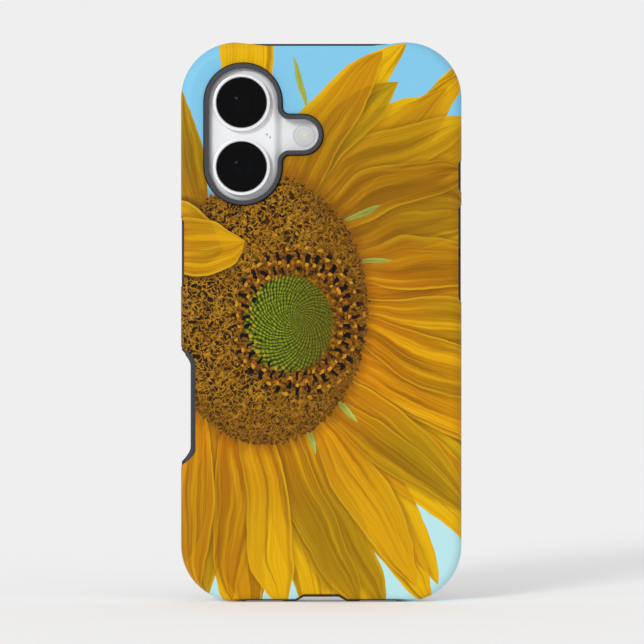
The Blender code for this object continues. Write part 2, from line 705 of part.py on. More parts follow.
def sound_and_haptics():
    haptic = plate("haptic_motor", (-28.0, -8.2), (-0.7, 2.35), (8.0, 20.0), radius=1.5)
    as_part(haptic, (0.55, 0.55, 0.56), 0.3, metallic=1.0)
    speaker = plate("loudspeaker", (8.2, 28.0), (-0.7, 2.35), (8.0, 20.5), radius=1.5)
    as_part(speaker, (0.05, 0.05, 0.05), 0.5)
    microphone = plate("bottom_microphone", (-13.4, -10.4), (0.5, 2.1), (5.3, 6.9), radius=0.3)
    as_part(microphone, (0.7, 0.6, 0.35), 0.3, metallic=1.0)
    earpiece = plate("earpiece_speaker", (-7.0, 9.0), (-0.5, 2.35), (138.5, 146.5))
    as_part(earpiece, (0.06, 0.06, 0.06), 0.5)


def bottom_screws():
    """The two screws beside the port, each with a five-sided driver recess."""
    for side, label in ((-1, "left"), (1, "right")):
        screw = disc("bottom_screw_" + label, side * SCREW_X, None, SCREW_RADIUS, 2.75, 7.2, 12,
                     axis="Z")
        cut(screw, disc("screw_recess_" + label, side * SCREW_X, None, 0.38, 2.0, 3.2, 5, axis="Z"))
        as_part(screw, (0.7, 0.7, 0.72), 0.3, metallic=1.0)


def main():
    clear_scene()
    collection(PARTS)
    collection(CUTTERS)
    case_shell()
    case_liner()
    case_pads()
    phone_frame()
    back_glass()
    front_glass()
    phone_buttons()
    for level in LENS_Z:
        camera(level)
    flash_and_microphone()
    display()
    battery_and_board()
    charging_parts()
    port()
    sound_and_haptics()
    bottom_screws()


main()
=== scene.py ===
"""The looks of a slim smartphone in a two-layer case with a sunflower print, around its CAD frame.

Lengths are in millimetres wherever MM turns them into metres. X runs to the right as seen from
behind the phone, Y from the back of the case towards the screen, and Z is up.
"""

import math
import random

import bmesh
import bpy
from mathutils import Matrix, Vector


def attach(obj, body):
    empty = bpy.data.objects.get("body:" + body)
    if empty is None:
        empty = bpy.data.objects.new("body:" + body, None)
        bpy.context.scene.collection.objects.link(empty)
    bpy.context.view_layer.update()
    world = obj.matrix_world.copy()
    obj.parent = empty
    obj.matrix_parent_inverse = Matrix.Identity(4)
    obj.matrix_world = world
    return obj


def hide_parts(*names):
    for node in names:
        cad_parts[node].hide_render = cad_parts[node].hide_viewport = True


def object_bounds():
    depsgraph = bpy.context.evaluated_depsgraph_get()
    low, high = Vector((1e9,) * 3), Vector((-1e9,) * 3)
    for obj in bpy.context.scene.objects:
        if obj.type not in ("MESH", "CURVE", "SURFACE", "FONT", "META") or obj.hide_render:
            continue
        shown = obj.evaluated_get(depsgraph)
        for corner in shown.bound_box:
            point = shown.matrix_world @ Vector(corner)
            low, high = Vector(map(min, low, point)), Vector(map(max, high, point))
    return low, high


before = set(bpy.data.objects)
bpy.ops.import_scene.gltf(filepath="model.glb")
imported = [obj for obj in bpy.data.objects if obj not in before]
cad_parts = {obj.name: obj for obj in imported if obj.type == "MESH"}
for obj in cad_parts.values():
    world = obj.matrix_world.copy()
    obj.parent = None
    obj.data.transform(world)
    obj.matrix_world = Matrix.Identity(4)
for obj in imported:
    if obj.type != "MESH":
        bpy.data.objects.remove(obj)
cad_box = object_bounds()

MM = 0.001
BODY = "cased_phone"

# The case's outline and stack, as in the CAD frame.
CASE_HALF_WIDTH = 38.3
CASE_HEIGHT = 152.7
CORNER_RADIUS = 15.3
CORNER_STEPS = 24
FILLET_RADIUS = 3.0
FILLET_STEPS = 10
SHELL_BACK, SHELL_FRONT = -5.05, 4.5
SHELL_INNER_INSET, SHELL_CAVITY_BACK = 1.0, -4.05
LINER_OUTER_INSET, LINER_BACK = 1.15, -3.9
LINER_INNER_INSET, LINER_CAVITY_BACK, LINER_CAVITY_FRONT = 2.35, -2.7, 5.38
FLANGE_BACK, CASE_FRONT, LIP_INSET = 4.65, 6.25, 3.7
GLASS_INSET, PHONE_BACK, BACK_GLASS_FRONT = 3.35, -2.55, -1.85
PLATEAU_BACK, CAMERA_RIM_BACK, LENS_RING_BACK = -4.1, -6.25, -5.95
BUTTON_LINE = 1.35
CLEAR = 9.0  # how far from the middle plane a cutting solid reaches

# The camera opening: an upright pill with an arm to its right.
PILL_X, PILL_Z, PILL_HALF_WIDTH, PILL_HALF_HEIGHT = -21.3, 127.5, 10.85, 19.57
ARM_Z, ARM_HALF_HEIGHT, ARM_END_X, ARM_FILLET = 127.35, 5.75, 0.68, 1.8
RIM_GAP, RIM_WIDTH = 0.27, 1.45
PLATEAU_X, PLATEAU_HALF_WIDTH, PLATEAU_HALF_HEIGHT = -21.55, 9.2, 17.95
LENS_X = -21.72
LENS_Z = {"upper": 136.1, "lower": 118.6}
LENS_BORE_RADIUS = 6.55
LENS_DOME_RADIUS = 3.15
FLASH_X, FLASH_Z, FLASH_HOLE_RADIUS, FLASH_RADIUS = -4.69, 127.2, 3.0, 2.96
MICROPHONE_HOLES = ((-14.75, 127.4), (-13.85, 126.6))

# The screen: half sizes of its lit area, the sensors' pill (x, z, half reach, radius), and a lens.
DISPLAY_HALF_SIZE = (32.6, 70.7)
SENSOR_PILL = (-0.45, 142.6, 6.5, 2.65)
FRONT_CAMERA = (-6.6, 142.6)

# Pads: side of the phone, centre height, half length; and the shell's windows: side, low, high.
PADS = {
    "action": (1, 115.9, 3.7),
    "volume_up": (1, 102.0, 5.6),
    "volume_down": (1, 88.45, 5.6),
    "side": (-1, 95.25, 8.5),
}
PAD_HALF_WIDTH = 1.9
PAD_GAP = 0.15
SHELL_WINDOWS = ((1, 111.7, 120.5), (1, 81.8, 108.2), (-1, 86.0, 104.6))
WINDOW_BACK, WINDOW_FRONT, WINDOW_INSET = -4.15, 3.6, 1.08

# The scoop beside the camera control, the dip in the top edge, and the openings in the bottom edge.
SCOOP_LOW, SCOOP_HIGH, SCOOP_RAMP = 42.6, 64.0, 4.6
SHELL_SCOOP_X, LINER_SCOOP_X = -34.3, -35.6
TOP_DIP = 1.1
TOP_DIP_OUTLINE = ((-15.0, -TOP_DIP), (14.0, -TOP_DIP), (28.6, 0.7), (-29.6, 0.7))
SPEAKER_X = 15.45
PORT_HOLE_HALF_SIZE, SOUND_SLOT_HALF_SIZE, BOTTOM_HOLE_RANGE = (6.2, 2.9), (4.9, 1.2), (-2, 3.4)
SOUND_RECESS_OUTLINE = ((4.6, 0.4), (-4.6, 0.4), (-8.0, -1.0), (8.0, -1.0))
NOTCH_DEPTH, NOTCH_TOP_HALF_WIDTH, NOTCH_BASE_HALF_WIDTH = 1.4, 4.8, 7.1

AXES = {
    "X": Matrix(((0, 0, 1), (1, 0, 0), (0, 1, 0))),
    "Y": Matrix(((1, 0, 0), (0, 0, -1), (0, 1, 0))),
    "Z": Matrix(((1, 0, 0), (0, 1, 0), (0, 0, 1))),
}
EXTRUSION_SIGN = {"X": 1, "Y": -1, "Z": 1}


# ---------------------------------------------------------------- outlines

def arc(centre, radius, start, end, steps):
    """Points along an arc, both ends included; the angles are in degrees."""
    points = []
    for step in range(steps + 1):
        angle = math.radians(start + (end - start) * step / steps)
        points.append((centre[0] + radius * math.cos(angle), centre[1] + radius * math.sin(angle)))
    return points


def rounded_rectangle(low, high, radius, steps):
    right, left = high[0] - radius, low[0] + radius
    top, bottom = high[1] - radius, low[1] + radius
    points = arc((right, top), radius, 0, 90, steps)
    points += arc((left, top), radius, 90, 180, steps)
    points += arc((left, bottom), radius, 180, 270, steps)
    points += arc((right, bottom), radius, 270, 360, steps)
    return points


def case_outline(inset):
    half_width = CASE_HALF_WIDTH - inset
    return rounded_rectangle((-half_width, inset), (half_width, CASE_HEIGHT - inset),
                             CORNER_RADIUS - inset, CORNER_STEPS)


def stadium(half_a, half_b, steps=16):
    radius = min(half_a, half_b)
    reach_a, reach_b = half_a - radius, half_b - radius
    if half_a >= half_b:
        return (arc((reach_a, 0), radius, -90, 90, steps)
                + arc((-reach_a, 0), radius, 90, 270, steps))
    return arc((0, reach_b), radius, 0, 180, steps) + arc((0, -reach_b), radius, 180, 360, steps)


def camera_outline(grow):
    """The camera opening's outline moved outwards by grow: a pill, an arm and two fillets."""
    half_width = PILL_HALF_WIDTH + grow
    reach = PILL_HALF_HEIGHT - PILL_HALF_WIDTH
    arm_half = ARM_HALF_HEIGHT + grow
    fillet = ARM_FILLET - grow
    side = PILL_X + half_width
    arm_end = ARM_END_X + grow - arm_half
    points = arc((PILL_X, PILL_Z + reach), half_width, 0, 180, 40)
    points += arc((PILL_X, PILL_Z - reach), half_width, 180, 360, 40)
    points += arc((side + fillet, ARM_Z - arm_half - fillet), fillet, 180, 90, 8)
    points += arc((arm_end, ARM_Z), arm_half, -90, 90, 24)
    points += arc((side + fillet, ARM_Z + arm_half + fillet), fillet, 270, 180, 8)
    return points


def scoop_outline(flat_x, grow):
    """The finger scoop: a flat with a ramp at each end that starts level and then steepens."""
    steps = 16
    outside_x = -CASE_HALF_WIDTH - 2.0
    low, high = SCOOP_LOW - grow, SCOOP_HIGH + grow
    depth = flat_x + CASE_HALF_WIDTH
    ramp = []
    for step in range(steps + 1):
        share = step / steps
        ramp.append((flat_x - depth * (1 - math.cos(share * math.pi / 2)), SCOOP_RAMP * share))
    points = [(x, high + rise) for x, rise in ramp]
    points.append((outside_x, high + SCOOP_RAMP + 1.5))
    points.append((outside_x, low - SCOOP_RAMP - 1.5))
    points += [(x, low - rise) for x, rise in reversed(ramp)]
    return points


# ---------------------------------------------------------------- solids

def link(name, mesh):
    item = bpy.data.objects.new(name, mesh)
    bpy.context.scene.collection.objects.link(item)
    return item


def evaluated_mesh(item, name):
    graph = bpy.context.evaluated_depsgraph_get()
    mesh = bpy.data.meshes.new_from_object(item.evaluated_get(graph))
    mesh.name = name
    return mesh


def round_rim(edit, height, width, segments):
    """Bevels the edges that lie on one cap of an extrusion."""
    rim = []
    for edge in edit.edges:
        on_cap = all(abs(corner.co.z - height) < 1e-6 for corner in edge.verts)
        if on_cap and len(edge.link_faces) == 2 and edge.calc_face_angle() > 1.0:
            rim.append(edge)
    bmesh.ops.bevel(edit, geom=rim, offset=width * MM, offset_type="OFFSET", segments=segments,
                    profile=0.5, affect="EDGES", clamp_overlap=True)


def prism(name, outlines, axis, low, high, centre=(0.0, 0.0), low_rim=None, high_rim=None):
    """Extrudes closed outlines along a world axis from low to high, with rims rounded if asked."""
    curve = bpy.data.curves.new(name, "CURVE")
    curve.dimensions = "2D"
    curve.fill_mode = "BOTH"
    half_depth = (high - low) / 2 * MM
    curve.extrude = half_depth
    for outline in outlines:
        spline = curve.splines.new("POLY")
        spline.points.add(len(outline) - 1)
        spline.use_cyclic_u = True
        for point, (first, second) in zip(spline.points, outline):
            point.co = (first * MM, second * MM, 0.0, 1.0)
    guide = link(name + "_guide", curve)
    mesh = evaluated_mesh(guide, name)
    bpy.data.objects.remove(guide)

    edit = bmesh.new()
    edit.from_mesh(mesh)
    bmesh.ops.remove_doubles(edit, verts=edit.verts, dist=1e-6)
    bmesh.ops.dissolve_limit(edit, angle_limit=math.radians(0.5), verts=edit.verts, edges=edit.edges)
    bmesh.ops.recalc_face_normals(edit, faces=edit.faces)
    sign = EXTRUSION_SIGN[axis]
    if low_rim:
        round_rim(edit, -half_depth * sign, *low_rim)
    if high_rim:
        round_rim(edit, half_depth * sign, *high_rim)
    turn = AXES[axis]
    offset = turn @ Vector((centre[0], centre[1], (low + high) / 2 * sign)) * MM
    bmesh.ops.transform(edit, matrix=Matrix.Translation(offset) @ turn.to_4x4(), verts=edit.verts)
    edit.to_mesh(mesh)
    edit.free()
    return link(name, mesh)


def case_slab(name, inset, low, high, low_rim=None, high_rim=None):
    return prism(name, [case_outline(inset)], "Y", low, high, low_rim=low_rim, high_rim=high_rim)


def back_fillet(inset):
    return (FILLET_RADIUS - inset, FILLET_STEPS)


def disc(name, x, z, radius, low, high, sides=96):
    return prism(name, [arc((0, 0), radius, 0, 360 - 360 / sides, sides - 1)], "Y", low, high,
                 centre=(x, z))


def turned(name, x, z, profile, closed=True, steps=96):
    """A profile of (radius, Y) points turned about a line along Y through (x, z)."""
    edit = bmesh.new()
    corners = [edit.verts.new((radius * MM, y * MM, 0)) for radius, y in profile]
    for first, second in zip(corners, corners[1:]):
        edit.edges.new((first, second))
    if closed:
        edit.edges.new((corners[-1], corners[0]))
    bmesh.ops.spin(edit, geom=list(edit.verts) + list(edit.edges), angle=2 * math.pi, steps=steps,
                   axis=(0, 1, 0), cent=(0, 0, 0), use_merge=True)
    bmesh.ops.remove_doubles(edit, verts=edit.verts, dist=1e-6)
    bmesh.ops.translate(edit, vec=(x * MM, 0, z * MM), verts=edit.verts)
    bmesh.ops.recalc_face_normals(edit, faces=edit.faces)
    mesh = bpy.data.meshes.new(name)
    edit.to_mesh(mesh)
    edit.free()
    return link(name, mesh)


def combined(item, steps, soften=0.0):
    """Applies boolean steps of (operation, other solid) and removes the other solids."""
    for operation, other in steps:
        boolean = item.modifiers.new(other.name, "BOOLEAN")
        boolean.operation = operation
        boolean.solver = "EXACT"
        boolean.object = other
    if soften:
        bevel = item.modifiers.new("softened", "BEVEL")
        bevel.width = soften * MM
        bevel.segments = 2
        bevel.limit_method = "ANGLE"
        bevel.angle_limit = math.radians(50)
    mesh = evaluated_mesh(item, item.name)
    item.modifiers.clear()
    item.data = mesh
    for _, other in steps:
        bpy.data.objects.remove(other)
    return item


def smooth(item):
    item.data.shade_smooth()
    item.data.set_sharp_from_angle(angle=math.radians(30))
    weighted = item.modifiers.new("weighted", "WEIGHTED_NORMAL")
    weighted.keep_sharp = True


def finish_piece(item, finish, replaces, body=BODY):
    """Gives a piece its material and its body, and hides the CAD nodes that it stands for."""
    if finish:
        item.data.materials.clear()
        item.data.materials.append(finish)
    smooth(item)
    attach(item, body)
    if replaces:
        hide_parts(*replaces)
    return item


# ---------------------------------------------------------------- node helpers

def linear(red, green, blue):
    """A display colour of 0 to 255 as the linear colour that shaders take."""
    def channel(value):
        share = value / 255
        return share / 12.92 if share <= 0.04045 else ((share + 0.055) / 1.055) ** 2.4
    return (channel(red), channel(green), channel(blue), 1.0)


class Graph:
    """Short calls that add shader nodes; any input may be a socket or a plain value."""

    def __init__(self, tree):
        self.tree = tree

    def put(self, socket, value):
        if value is None:
            return
        if isinstance(value, bpy.types.NodeSocket):
            self.tree.links.new(value, socket)
        else:
            socket.default_value = value

    def node(self, kind, inputs=(), **settings):
        made = self.tree.nodes.new(kind)
        for name, value in settings.items():
            setattr(made, name, value)
        pairs = inputs.items() if isinstance(inputs, dict) else enumerate(inputs)
        for key, value in pairs:
            self.put(made.inputs[key], value)
        return made

    def math(self, operation, *values, clamp=False):
        made = self.node("ShaderNodeMath", values, operation=operation, use_clamp=clamp)
        return made.outputs[0]

    def vector(self, operation, *values):
        made = self.node("ShaderNodeVectorMath", values, operation=operation)
        return made.outputs["Value" if operation in ("LENGTH", "DOT_PRODUCT") else "Vector"]

    def split(self, vector):
        return self.node("ShaderNodeSeparateXYZ", [vector]).outputs

    def join(self, *values):
        return self.node("ShaderNodeCombineXYZ", values).outputs[0]

    def blend(self, factor, first, second):
        made = self.node("ShaderNodeMix", {0: factor, 6: first, 7: second}, data_type="RGBA")
        return made.outputs[2]

    def lerp(self, factor, first, second):
        return self.node("ShaderNodeMix", {0: factor, 2: first, 3: second}).outputs[0]

    def lerp_vector(self, factor, first, second):
        made = self.node("ShaderNodeMix", {0: factor, 4: first, 5: second}, data_type="VECTOR")
        return made.outputs[1]

    def ramp(self, factor, stops):
        made = self.node("ShaderNodeValToRGB", [factor])
        ramp = made.color_ramp
        while len(ramp.elements) < len(stops):
            ramp.elements.new(0.5)
        for element, (position, colour) in zip(ramp.elements, stops):
            element.position = position
            element.color = colour
        return made.outputs[0]

    def span(self, value, low, high, to_low=0.0, to_high=1.0, kind="SMOOTHSTEP"):
        made = self.node("ShaderNodeMapRange", [value, low, high, to_low, to_high],
                         interpolation_type=kind)
        return made.outputs[0]

    def noise(self, vector, scale, detail=2.0, roughness=0.5):
        return self.node("ShaderNodeTexNoise", {"Vector": vector, "Scale": scale, "Detail": detail,
                                                "Roughness": roughness})

    def cells(self, vector, scale, feature):
        return self.node("ShaderNodeTexVoronoi", {"Vector": vector, "Scale": scale},
                         feature=feature)

    def gap(self, value, centre):
        """How far a value is from a centre, either way."""
        return self.math("ABSOLUTE", self.math("SUBTRACT", value, centre))

    def distance(self, first, second, centre):
        """How far a point of two coordinates is from a centre."""
        away = self.join(self.math("SUBTRACT", first, centre[0]),
                         self.math("SUBTRACT", second, centre[1]), 0.0)
        return self.vector("LENGTH", away)

    def bump(self, height, strength, distance):
        made = self.node("ShaderNodeBump", {"Strength": strength, "Distance": distance * MM,
                                            "Height": height})
        return made.outputs[0]


def new_material(name, **sockets):
    """A Principled material; sockets gives plain values for its own inputs."""
    made = bpy.data.materials.new(name)
    made.use_nodes = True
    shader = made.node_tree.nodes["Principled BSDF"]
    for socket, value in sockets.items():
        shader.inputs[socket.replace("_", " ")].default_value = value
    return made, Graph(made.node_tree), shader


def object_point(graph):
    """The point on the part, in millimetres."""
    place = graph.node("ShaderNodeTexCoord").outputs["Object"]
    return graph.vector("MULTIPLY", place, (1 / MM,) * 3)


# ---------------------------------------------------------------- the print

# The flower's disc, the point where its spirals meet, the ring around that, and the green heart.
DISC_X, DISC_Z, DISC_HALF_WIDTH, DISC_HALF_HEIGHT = -15.3, 79.6, 28.1, 36.8
HEART_X, HEART_Z = -6.4, 76.5
RING_HALF_WIDTH, RING_HALF_HEIGHT = 14.9, 16.75
GREEN_X, GREEN_Z, GREEN_HALF_WIDTH, GREEN_HALF_HEIGHT = -8.8, 75.8, 12.4, 13.6
UV_SCALE = 100.0  # millimetres of the flat print in one unit of its UV layer
SEPAL_TONE = 1.5  # a petal row with this tone is a green sepal
NO_PETAL = ((0.0, 0.0, 0.0), 1.0, 0.0)  # no petal's coordinates yet, full light, none counted

SKY_DEEP = linear(128, 196, 228)
SKY_PALE = linear(182, 226, 232)
# The dark brown of the shade painted along the shell's bottom edge.
BOTTOM_SHADE_BROWN = linear(40, 24, 4)

# A petal's gold by how many petals the light has passed, and the other tones on it.
GOLD_BY_LAYERS = [(0.25, linear(246, 194, 6)), (0.5, linear(216, 148, 4)),
                  (0.75, linear(194, 128, 3)), (1.0, linear(172, 110, 2))]
PETAL_SUNLIT, PETAL_LIGHT, PETAL_BRIGHT = linear(244, 190, 8), linear(232, 172, 8), linear(248, 204, 30)
PETAL_OLIVE, PETAL_ORANGE, PETAL_SHADE = linear(158, 134, 8), linear(198, 112, 4), linear(132, 82, 2)
PETAL_CREASE, PETAL_EDGE, PETAL_SHADOW = linear(120, 78, 10), linear(246, 198, 34), linear(108, 62, 6)
SEPAL_DARK, SEPAL_LIGHT = linear(108, 138, 34), linear(206, 212, 110)

# A petal's half breadth along its length, both as shares, between its two ends.
PETAL_OUTLINE = ((0.02, 0.42), (0.22, 0.8), (0.46, 1.0), (0.72, 0.84), (0.9, 0.42))


def petal_group():
    """One petal laid over those before it: it passes on the top petal, its light and the count."""
    tree = bpy.data.node_groups.new("petal", "ShaderNodeTree")
    add = tree.interface.new_socket
    for name, kind in (("Point", "Vector"), ("Base", "Vector"), ("Turn", "Vector"),
                       ("Size", "Vector"), ("Bend", "Float"), ("Tone", "Float"),
                       ("Petal", "Vector"), ("Light", "Float"), ("Count", "Float")):
        add(name=name, in_out="INPUT", socket_type="NodeSocket" + kind)
    for name, kind in (("Point", "Vector"), ("Petal", "Vector"), ("Light", "Float"),
                       ("Count", "Float")):
        add(name=name, in_out="OUTPUT", socket_type="NodeSocket" + kind)
    graph = Graph(tree)
    given = graph.node("NodeGroupInput").outputs
    local = graph.node("ShaderNodeMapping", [given["Point"], given["Base"], given["Turn"],
                                             given["Size"]], vector_type="TEXTURE").outputs[0]
    along, across, _ = graph.split(local)
    lean = graph.math("MULTIPLY", given["Bend"], graph.math("MULTIPLY", along, along))
    across = graph.math("ADD", across, lean)
    curve = graph.node("ShaderNodeFloatCurve", {1: along})
    points = curve.mapping.curves[0].points
    points[0].location = (0.0, 0.0)
    points[1].location = (1.0, 0.0)
    for place in PETAL_OUTLINE:
        points.new(*place)
    curve.mapping.update()
    outline = curve.outputs[0]
    beyond = graph.math("SUBTRACT", graph.math("ABSOLUTE", across), outline)
    inside = graph.math("LESS_THAN", beyond, 0.0)
    share = graph.math("DIVIDE", across, graph.math("MAXIMUM", outline, 0.05))
    near = graph.span(beyond, 0.0, 0.26, 0.62, 0.0)
    shade = graph.math("SUBTRACT", 1.0, graph.math("MULTIPLY", near, outline))
    light = graph.math("MULTIPLY", given["Light"], shade)
    top = graph.join(along, share, given["Tone"])
    out = graph.node("NodeGroupOutput").inputs
    graph.put(out["Petal"], graph.lerp_vector(inside, given["Petal"], top))
    graph.put(out["Light"], graph.lerp(inside, light, 1.0))
    count = graph.math("ADD", given["Count"], inside)
    graph.put(out["Count"], count)
    # The next petal's point leans on this one's count, which makes the renderer take them in turn.
    graph.put(out["Point"], graph.vector("MULTIPLY_ADD", count, (1e-6,) * 3, given["Point"]))
    return tree


def petal_colour_group():
    """Colours a petal from its own coordinates, the light on it and how many lie under it."""
    tree = bpy.data.node_groups.new("petal_colour", "ShaderNodeTree")
    for name, kind in (("Petal", "Vector"), ("Light", "Float"), ("Count", "Float")):
        tree.interface.new_socket(name=name, in_out="INPUT", socket_type="NodeSocket" + kind)
    tree.interface.new_socket(name="Colour", in_out="OUTPUT", socket_type="NodeSocketColor")
    graph = Graph(tree)
    given = graph.node("NodeGroupInput").outputs
    along, share, tone = graph.split(given["Petal"])

    tone_shift = graph.math("MULTIPLY", tone, 37.0)
    curl = graph.noise(graph.join(graph.math("MULTIPLY", along, 1.6), tone_shift, share), 1.0, 1.0)
    drift = graph.math("MULTIPLY_ADD", curl.outputs[0], 0.3, share)
    veins = graph.noise(graph.join(graph.math("MULTIPLY", along, 1.3),
                                   graph.math("MULTIPLY", drift, 21.0), tone_shift), 1.0, 4.0, 0.62)
    folds = graph.noise(graph.join(graph.math("MULTIPLY", along, 1.3),
                                   graph.math("MULTIPLY", drift, 2.6), tone_shift), 1.0, 1.0)
    colour = graph.ramp(graph.math("DIVIDE", given["Count"], 4.0), GOLD_BY_LAYERS)
    across = graph.math("ABSOLUTE", share)
    middle = graph.math("ABSOLUTE", graph.math("ADD", share, 0.06))
    for factor, tint in (
            (graph.span(tone, 0.34, 0.06, 0.0, 0.75), PETAL_SUNLIT),
            (graph.span(tone, 0.6, 1.0, 0.0, 0.7), PETAL_OLIVE),
            (graph.span(along, 0.1, 0.6, 0.6, 0.0), PETAL_ORANGE),
            (graph.span(folds.outputs[0], 0.52, 0.7, 0.0, 0.6), PETAL_LIGHT),
            (graph.span(folds.outputs[0], 0.47, 0.3, 0.0, 0.6), PETAL_SHADE),
            (graph.span(veins.outputs[0], 0.52, 0.34, 0.0, 0.34), PETAL_SHADE),
            (graph.span(veins.outputs[0], 0.54, 0.72, 0.0, 0.26), PETAL_BRIGHT),
            (graph.span(middle, 0.0, 0.05, 0.3, 0.0), PETAL_CREASE),
            (graph.span(across, 0.88, 0.97, 0.0, 0.3), PETAL_EDGE)):
        colour = graph.blend(factor, colour, tint)
    sepal = graph.blend(graph.span(veins.outputs[0], 0.4, 0.6), SEPAL_DARK, SEPAL_LIGHT)
    colour = graph.blend(graph.math("GREATER_THAN", tone, SEPAL_TONE - 0.01), colour, sepal)
    light = graph.span(given["Light"], 0.0, 1.0, 0.25, 1.0, "LINEAR")
    shadow = graph.blend(light, PETAL_SHADOW, colour)
    out = graph.node("NodeGroupOutput").inputs
    graph.put(out["Colour"], shadow)
    return tree


def fan_of_petals(draw, places, headings, count, reach, breadth, bend, sink):
    """Petals attached around the disc between two places, in a random order.

    A petal's row is (x, z, heading, length, half breadth, bend, tone), in millimetres and degrees.
    """
    rows = []
    for number in range(count):
        share = (number + 0.5) / count
        place = places[0] + (places[1] - places[0]) * share + draw.uniform(-3, 3)
        heading = headings[0] + (headings[1] - headings[0]) * share + draw.uniform(-7, 7)
        x = DISC_X + DISC_HALF_WIDTH * sink * math.cos(math.radians(place))
        z = DISC_Z + DISC_HALF_HEIGHT * sink * math.sin(math.radians(place))
        rows.append((x, z, heading, draw.uniform(*reach), draw.uniform(*breadth),
                     draw.uniform(*bend), draw.random()))
    draw.shuffle(rows)
    return rows


def under_petals():
    """The petals behind the disc, back ones first."""
    draw = random.Random(5)
    rows = [(2.0, 104.0, 47, 64.0, 4.8, -0.3, 0.15), (6.0, 99.0, 39, 62.0, 5.2, 0.2, 0.3),
            (-5.7, 69.0, -58, 76.0, 4.6, 0.4, 0.12)]
    rows += fan_of_petals(draw, (22, 88), (22, 55), 6, (56, 68), (5.0, 7.0), (0.0, 1.2), 0.7)
    rows += fan_of_petals(draw, (-40, 26), (-34, 20), 8, (60, 74), (6.0, 8.0), (0.0, 1.2), 0.7)
    rows += fan_of_petals(draw, (-132, -40), (-104, -34), 9, (62, 74), (5.5, 8.0), (-0.8, 0.8), 0.7)
    rows += fan_of_petals(draw, (30, 92), (18, 50), 4, (42, 56), (5.5, 7.5), (0.2, 1.4), 0.8)
    rows += fan_of_petals(draw, (-44, 30), (-34, 14), 6, (48, 60), (5.5, 7.5), (0.2, 1.5), 0.8)
    rows += fan_of_petals(draw, (-128, -44), (-100, -40), 7, (50, 62), (5.0, 7.5), (-0.6, 1.0), 0.8)
    for x, z, heading in ((-30.0, 88.0, 168), (-30.0, 70.0, 188), (-28.0, 80.0, 178),
                          (-30.0, 60.0, 203)):
        rows.append((x, z, heading, 42.0, 6.4, 0.3, 0.45))
    rows += [(-12.5, 106.0, 63, 52.0, 7.5, 0.8, 0.7), (-40.0, 62.0, -84, 52.0, 7.0, 0.3, 0.8),
             (-34.5, 60.0, -92, 60.0, 5.5, -0.4, 0.4), (-19.2, 104.0, 92, 64.0, 8.8, 0.0, 0.1),
             (-37.5, 100.0, 92, 40.0, 6.6, -0.3, 0.8), (-33.5, 101.0, 100, 37.0, 4.4, 0.3, 0.95)]
    for x, z, heading, length, breadth, bend in (
            (-3.2, 135.6, 101, 13.5, 0.75, -1.6), (6.0, 104.0, 14, 12.0, 0.8, 0.5),
            (9.0, 94.0, 4, 10.0, 0.7, 0.5), (3.0, 59.0, -52, 11.0, 1.0, 0.6),
            (-6.0, 50.0, -66, 12.0, 0.9, 0.4)):
        rows.append((x, z, heading, length, breadth, bend, SEPAL_TONE))
    return rows


def over_petals():
    """The petals whose tips curl over the disc."""
    return [(-49.0, 103.0, -10, 22.0, 8.5, 0.2, 0.9), (-46.5, 95.0, 16, 25.5, 8.2, 0.35, 0.8)]


def lay_petals(graph, group, point, rows):
    """Lays the rows' petals in turn: the top petal's coordinates, its light, and their count."""
    petal, light, count = NO_PETAL
    for x, z, heading, length, breadth, bend, tone in rows:
        node = graph.node("ShaderNodeGroup", node_tree=group)
        node.inputs["Base"].default_value = (x, z, 0.0)
        node.inputs["Turn"].default_value = (0.0, 0.0, math.radians(heading))
        node.inputs["Size"].default_value = (length, breadth, 1.0)
        node.inputs["Bend"].default_value = bend
        node.inputs["Tone"].default_value = tone
        for name, value in (("Point", point), ("Petal", petal), ("Light", light),
                            ("Count", count)):
            graph.put(node.inputs[name], value)
        point, petal, light, count = node.outputs
    return petal, light, count


def polar(graph, point, centre, half_sizes):
    """Radius, as a share of an ellipse, and angle in turns about its centre."""
    away = graph.vector("SUBTRACT", point, (centre[0], centre[1], 0.0))
    scaled = graph.vector("DIVIDE", away, (half_sizes[0], half_sizes[1], 1.0))
    x, z, _ = graph.split(scaled)
    radius = graph.vector("LENGTH", scaled)
    turns = graph.math("DIVIDE", graph.math("ARCTAN2", z, x), 2 * math.pi)
    return radius, turns


def spiral(graph, log_radius, turns, arms, pitch):
    """Ridges along one family of spirals: 1 on each ridge and 0 between."""
    phase = graph.math("MULTIPLY_ADD", turns, arms, graph.math("MULTIPLY", log_radius, pitch))
    return graph.math("ABSOLUTE", graph.math("SINE", graph.math("MULTIPLY", phase, math.pi)))


def curly_lines(graph, point, scale, shift, width):
    """Thin wandering lines, where a soft noise passes its middle value."""
    moved = graph.vector("ADD", point, shift)
    value = graph.noise(moved, scale, 1.0, 0.4).outputs[0]
    away = graph.math("ABSOLUTE", graph.math("SUBTRACT", value, 0.5))
    return graph.span(away, width, 0.0)


def heart_colour(graph, flat, radius, swirl, grain):
    """The green heart: two families of spirals that cross, with more arms further out."""
    log_radius = graph.math("LOGARITHM", graph.math("MAXIMUM", radius, 0.02), math.e)
    lattice = 0.0
    for inner_edge, arms, cross_arms in ((0.0, 21, 13), (0.24, 34, 21), (0.48, 55, 34)):
        way = spiral(graph, log_radius, swirl, arms, arms / 7)
        cross = spiral(graph, log_radius, swirl, -cross_arms, cross_arms / 4)
        band = graph.math("MULTIPLY", way, graph.math("MULTIPLY_ADD", cross, 0.5, 0.5))
        lattice = graph.lerp(graph.span(radius, inner_edge - 0.04, inner_edge + 0.04), lattice,
                             band)
    lattice = graph.math("ADD", lattice, graph.math("MULTIPLY_ADD", grain, 1.1, -0.55))
    green = graph.ramp(lattice, [(0.12, linear(38, 46, 10)), (0.4, linear(72, 86, 14)),
                                 (0.7, linear(104, 120, 18)), (1.0, linear(150, 160, 36))])
    x = graph.split(flat)[0]
    return graph.blend(graph.span(x, -16.0, 2.0, 0.0, 0.6), green, linear(82, 68, 14))


